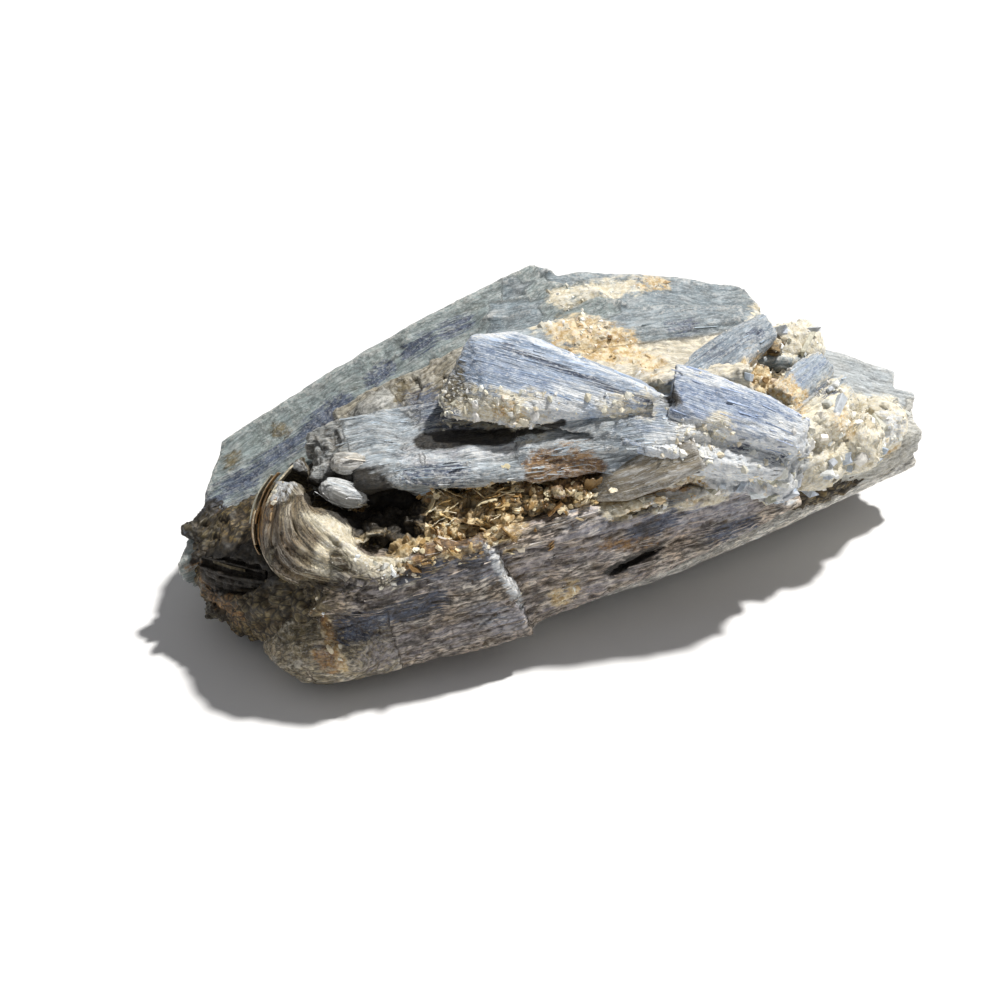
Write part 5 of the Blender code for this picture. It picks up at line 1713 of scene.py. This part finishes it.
def kyanite_material(name, groups, mottle, reach, fibre, pit, roughness, gleam):
    """Kyanite with its mineral patches.

    mottle is how much its tone wanders, reach how long its streaks are, fibre and pit its fine relief
    and gleam how strongly its painted glints, white highlight flecks along the fibres, show. Shade is
    also painted into its grooves and hollows.
    """
    material, tree, shader = new_material(name)
    grain = tree.attribute("grain")["vector"]
    body = tree.attribute("body")["colour"]
    marks = ("dirt", "proud", "sunken", "cracks", "cream", "gold")
    dirt, proud, sunken, cracks, cream, gold = (tree.attribute(mark)["value"] for mark in marks)

    def times(first, second):
        return tree.math("MULTIPLY", first, second)

    def streak(length, width):
        return tree.group(groups["streaks"], Grain=grain, Length=length * reach, Width=width)["Streak"]

    shard = tree.cells(tree.vector("MULTIPLY", grain, (0.24 / reach, 1.9, 1.9)), 1.0)["Color"]
    shard = tree.ease(tree.math("ADD", shard, 0.0), 0.0, 1.0, 1 - 0.55 * mottle, 1 + 0.35 * mottle)
    bundle, fine, painted_glint_streak = streak(8.0, 1.5), streak(3.6, 0.32), streak(1.1, 0.2)
    blotch = tree.ease(tree.noise(grain, 0.3, 6.0, 0.65), 0.42, 0.62)
    light = tree.mix(0.6, body, tree.mix(dirt, *LIGHTENED))
    deep = tree.mix(1.0, body, tree.mix(dirt, *DEEPENED), "MULTIPLY")
    colour = tree.mix(times(tree.ease(bundle, 0.5, 1.0), mottle), body, light)
    colour = tree.mix(times(tree.ease(bundle, 0.45, 0.0), mottle), colour, deep)
    earthy = times(blotch, tree.ease(dirt, 0.0, 1.0, 0.1, 0.6))
    colour = tree.mix(earthy, colour, tree.mix(1.0, colour, EARTHY, "MULTIPLY"))
    darkest = tree.ease(dirt, 0.1, 1.0, 0.78, 0.25)
    brightest = tree.ease(dirt, 0.1, 1.0, 1.18, 1.8)
    colour = tree.mix(1.0, colour, tree.ease(fine, 0.1, 0.9, darkest, brightest), "MULTIPLY")
    colour = tree.mix(1.0, colour, shard, "MULTIPLY")

    def patch(mineral, length, width, ragged, softness):
        strength = tree.attribute(mineral)["value"]
        sockets = dict(Length=length, Width=width, Ragged=ragged, Softness=softness)
        return tree.group(groups["patch"], Strength=strength, Grain=grain, **sockets)["Patch"]

    def two_tone(first, second, scale):
        share = tree.ease(tree.noise(grain, scale, 5.0, 0.65), 0.38, 0.62)
        return tree.mix(share, first + (1,), second + (1,))

    def stained(mineral, colour, most, shape, first, second, scale):
        return tree.mix(times(patch(mineral, *shape), most), colour, two_tone(first, second, scale))

    for mineral, look in STAIN_LOOKS.items():
        colour = stained(mineral, colour, *look)

    # Painted glints, worn edges, and grooves darkened with soil and painted shade, which a clean coat of
    # cream or gold keeps off
    bare = tree.ease(tree.math("MAXIMUM", cream, gold), 0.6, 1.3, 1.0, 0.3)
    # Painted glints: white highlight flecks along the fibres, fading where the crystal is dirty
    painted_glints = times(tree.ease(painted_glint_streak, 0.66, 0.95), tree.ease(dirt, 0.15, 0.9, gleam, 0.02))
    colour = tree.mix(painted_glints, colour, PAINTED_GLINT)
    worn = times(proud, tree.ease(tree.noise(grain, 2.4, 4.0, 0.7), 0.42, 0.6))
    worn = times(worn, tree.ease(dirt, 0.3, 1.0, 0.6, 0.1))
    colour = tree.mix(worn, colour, tree.mix(dirt, *WORN_EDGE))
    # Grooves darkened with soil and painted shade: the sunken places are painted darker, as shade would fall
    # in them
    soil_and_painted_shade = times(sunken, tree.ease(tree.noise(grain, 1.1, 4.0, 0.7), 0.32, 0.55))
    soil_and_painted_shade = times(soil_and_painted_shade, tree.ease(dirt, 0.1, 0.9, 0.1, 0.92))
    colour = tree.mix(times(soil_and_painted_shade, bare), colour, two_tone(*SOIL_AND_SHADE_LOOK))
    crack = times(cracks, tree.ease(dirt, 0.15, 1.0, 0.1, 0.95))
    colour = tree.mix(times(crack, bare), colour, CRACK)
    flaw = tree.cells(tree.vector("MULTIPLY", grain, (0.6, 1.0, 1.0)), 1.0, "DISTANCE_TO_EDGE")["Distance"]
    flaw = times(tree.ease(flaw, 0.13, 0.03), tree.ease(dirt, 0.82, 0.98, 0.0, 0.85))
    colour = tree.mix(times(flaw, bare), colour, FLAW)
    # Painted shade goes on last: near-black patches over the crevices and hollows
    colour = stained("dark", colour, *PAINTED_SHADE_LOOK)
    tree.feed(shader.inputs["Base Color"], colour)

    glaze = tree.ease(fine, 0.0, 1.0, roughness + 0.12, roughness - 0.12)
    rough = tree.math("ADD", glaze, times(sunken, 0.25), clamp=True)
    tree.feed(shader.inputs["Roughness"], rough)
    relief = tree.group(groups["relief"], Grain=grain, Fibre=fibre, Pit=pit)["Height"]
    tree.bump(shader, relief, 1.0)
    return material


def grain_material(name, roughness, scale, spread):
    """The look of small loose pieces: their own colour, clouded, with a soft gleam."""
    material, tree, shader = new_material(name)
    place = tree.attribute("grain")["vector"]
    cloud = tree.noise(place, scale, 4.0, 0.6)
    shade = tree.ease(cloud, 0.3, 0.7, 1 - spread, 1 + 0.5 * spread)
    tree.feed(shader.inputs["Base Color"], tree.mix(1.0, tree.attribute("body")["colour"], shade, "MULTIPLY"))
    tree.feed(shader.inputs["Roughness"], tree.ease(cloud, 0.3, 0.7, roughness, roughness + 0.2))
    relief = tree.math("MULTIPLY", tree.noise(place, 3.0 * scale, 3.0, 0.6), 0.1)
    tree.bump(shader, relief, 0.6)
    return material


def make_materials():
    groups = {"streaks": streaks_group(), "patch": patch_group(), "relief": fibre_bump_group()}
    made = {name: kyanite_material(name, groups, *look) for name, look in KYANITE_LOOKS.items()}
    made.update({name: grain_material(name, *look) for name, look in GRAIN_LOOKS.items()})
    return made


# ---------------------------------------------------------------- floor, lights and camera


def make_floor():
    bm = bmesh.new()
    bmesh.ops.create_grid(bm, x_segments=1, y_segments=1, size=FLOOR_HALF_WIDTH_M)
    floor = in_scene("floor", mesh_from(bm, "floor"))
    material, _, shader = new_material("pale_paper")
    shader.inputs["Base Color"].default_value = FLOOR_COLOUR
    shader.inputs["Roughness"].default_value = FLOOR_ROUGHNESS
    floor.data.materials.append(material)


def look_axes():
    """The camera's right, up and backward directions."""
    turn, height = math.radians(CAMERA_TURN), math.radians(CAMERA_HEIGHT)
    level, steep = math.cos(height), math.sin(height)
    backward = Vector((math.sin(turn) * level, -math.cos(turn) * level, steep))
    right = Vector((math.cos(turn), math.sin(turn), 0))
    return right, backward.cross(right), backward


def make_camera():
    right, up, backward = look_axes()
    aim = Vector(CAMERA_AIM) + CAMERA_SLIDE[0] * right + CAMERA_SLIDE[1] * up - Vector(LAYOUT_MIDDLE)
    camera = in_scene("camera", bpy.data.cameras.new("camera"))
    camera.data.lens = CAMERA_LENS
    camera.data.sensor_width = CAMERA_SENSOR
    camera.data.clip_start = CAMERA_CLIP_M
    turn = Matrix((right, up, backward)).transposed().to_4x4()
    camera.matrix_world = Matrix.Translation((aim + backward * CAMERA_DISTANCE) * MM) @ turn
    bpy.context.scene.camera = camera


def make_lights():
    sun = in_scene("sun", bpy.data.lights.new("sun", "SUN"))
    sun.data.energy = SUN_STRENGTH
    sun.data.angle = math.radians(SUN_WIDTH)
    sun.data.color = SUN_COLOUR
    sun.matrix_world = turned_to(Vector(SUN_TOWARDS), "Z", "Y")
    world = bpy.data.worlds.new("studio")
    world.use_nodes = True
    sky = world.node_tree.nodes["Background"]
    sky.inputs["Color"].default_value = SKY_COLOUR
    sky.inputs["Strength"].default_value = SKY_STRENGTH
    bpy.context.scene.world = world
    bpy.context.scene.view_settings.view_transform = "Standard"


# ---------------------------------------------------------------- the specimen


def grow_all():
    grown = Grown()
    grow_heart(grown)
    grow_back_plate_and_crown(grown)
    grow_wedge_and_shelf(grown)
    grow_front(grown)
    grow_left_fold(grown)
    grow_right_end(grown)
    wear_hollows(grown)
    fill_hollows(grown)
    curved = [Layers(name, *settings) for name, settings in LAYERED.items()]
    for layers in curved:
        layers.grow(grown)
    for number, (centre, size, turn) in enumerate(MICA_BED, start=1):
        grown.lump(f"mica_bed_{number}", centre, size, turn)
    lens = dict(roll=50, taper=(1.4, 1), pinch=(0.2, 0.7))
    grown.blade("lens_blade", (-4.2, -13.4, 20.6), (10.6, -16.5, 26.2), 4.4, 3.2, **lens)
    return grown, curved


def table_top(grown):
    """What lies under the flat that the specimen rests on."""
    bm = bmesh.new()
    bmesh.ops.create_cube(bm, size=1.0)
    shape = Matrix.Translation((0, 0, -TABLE_SIZE[2] / 2)) @ Matrix.Diagonal((*TABLE_SIZE, 1))
    bmesh.ops.transform(bm, matrix=shape, verts=bm.verts)
    grown.hollow = True
    grown.keep(bm, "table_top", Vector(), Matrix.Identity(3), (1, 1, 1))


def clear_ingredients(grown):
    for group in list(bpy.data.collections):
        bpy.data.collections.remove(group)
    for name in grown.names + [obj.name for obj in grown.hollows]:
        bpy.data.objects.remove(bpy.data.objects[name])


def make_specimen():
    grown, curved = grow_all()
    table_top(grown)
    worn = collection("worn")
    flat = collection("flat")
    for obj in grown.hollows:
        worn.objects.link(obj)
    flat.objects.link(bpy.data.objects["table_top"])
    materials = make_materials()
    ground = Ground(grown.boxes)
    for name, (starts, voxel, heal, look) in SKINS.items():
        hollows = flat if name in FILLINGS else worn
        material = materials[look + "_kyanite"]
        make_skin(grown, curved, hollows, name, starts, voxel, heal, material, ground)
    clear_ingredients(grown)
    ground.join()
    scatter_grains(ground, materials["quartz_and_broken_kyanite"])
    scatter_flakes(ground, materials["golden_mica"])
    scatter_sheets(ground, materials["golden_mica"])
    scatter_blocks(ground, materials["quartz_and_broken_kyanite"])
    scatter_splinters(ground, materials["kyanite_splinters"])
    tear_sheets(materials["torn_sheets"])
    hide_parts("blade_cluster")


make_specimen()
make_floor()
make_camera()
make_lights()
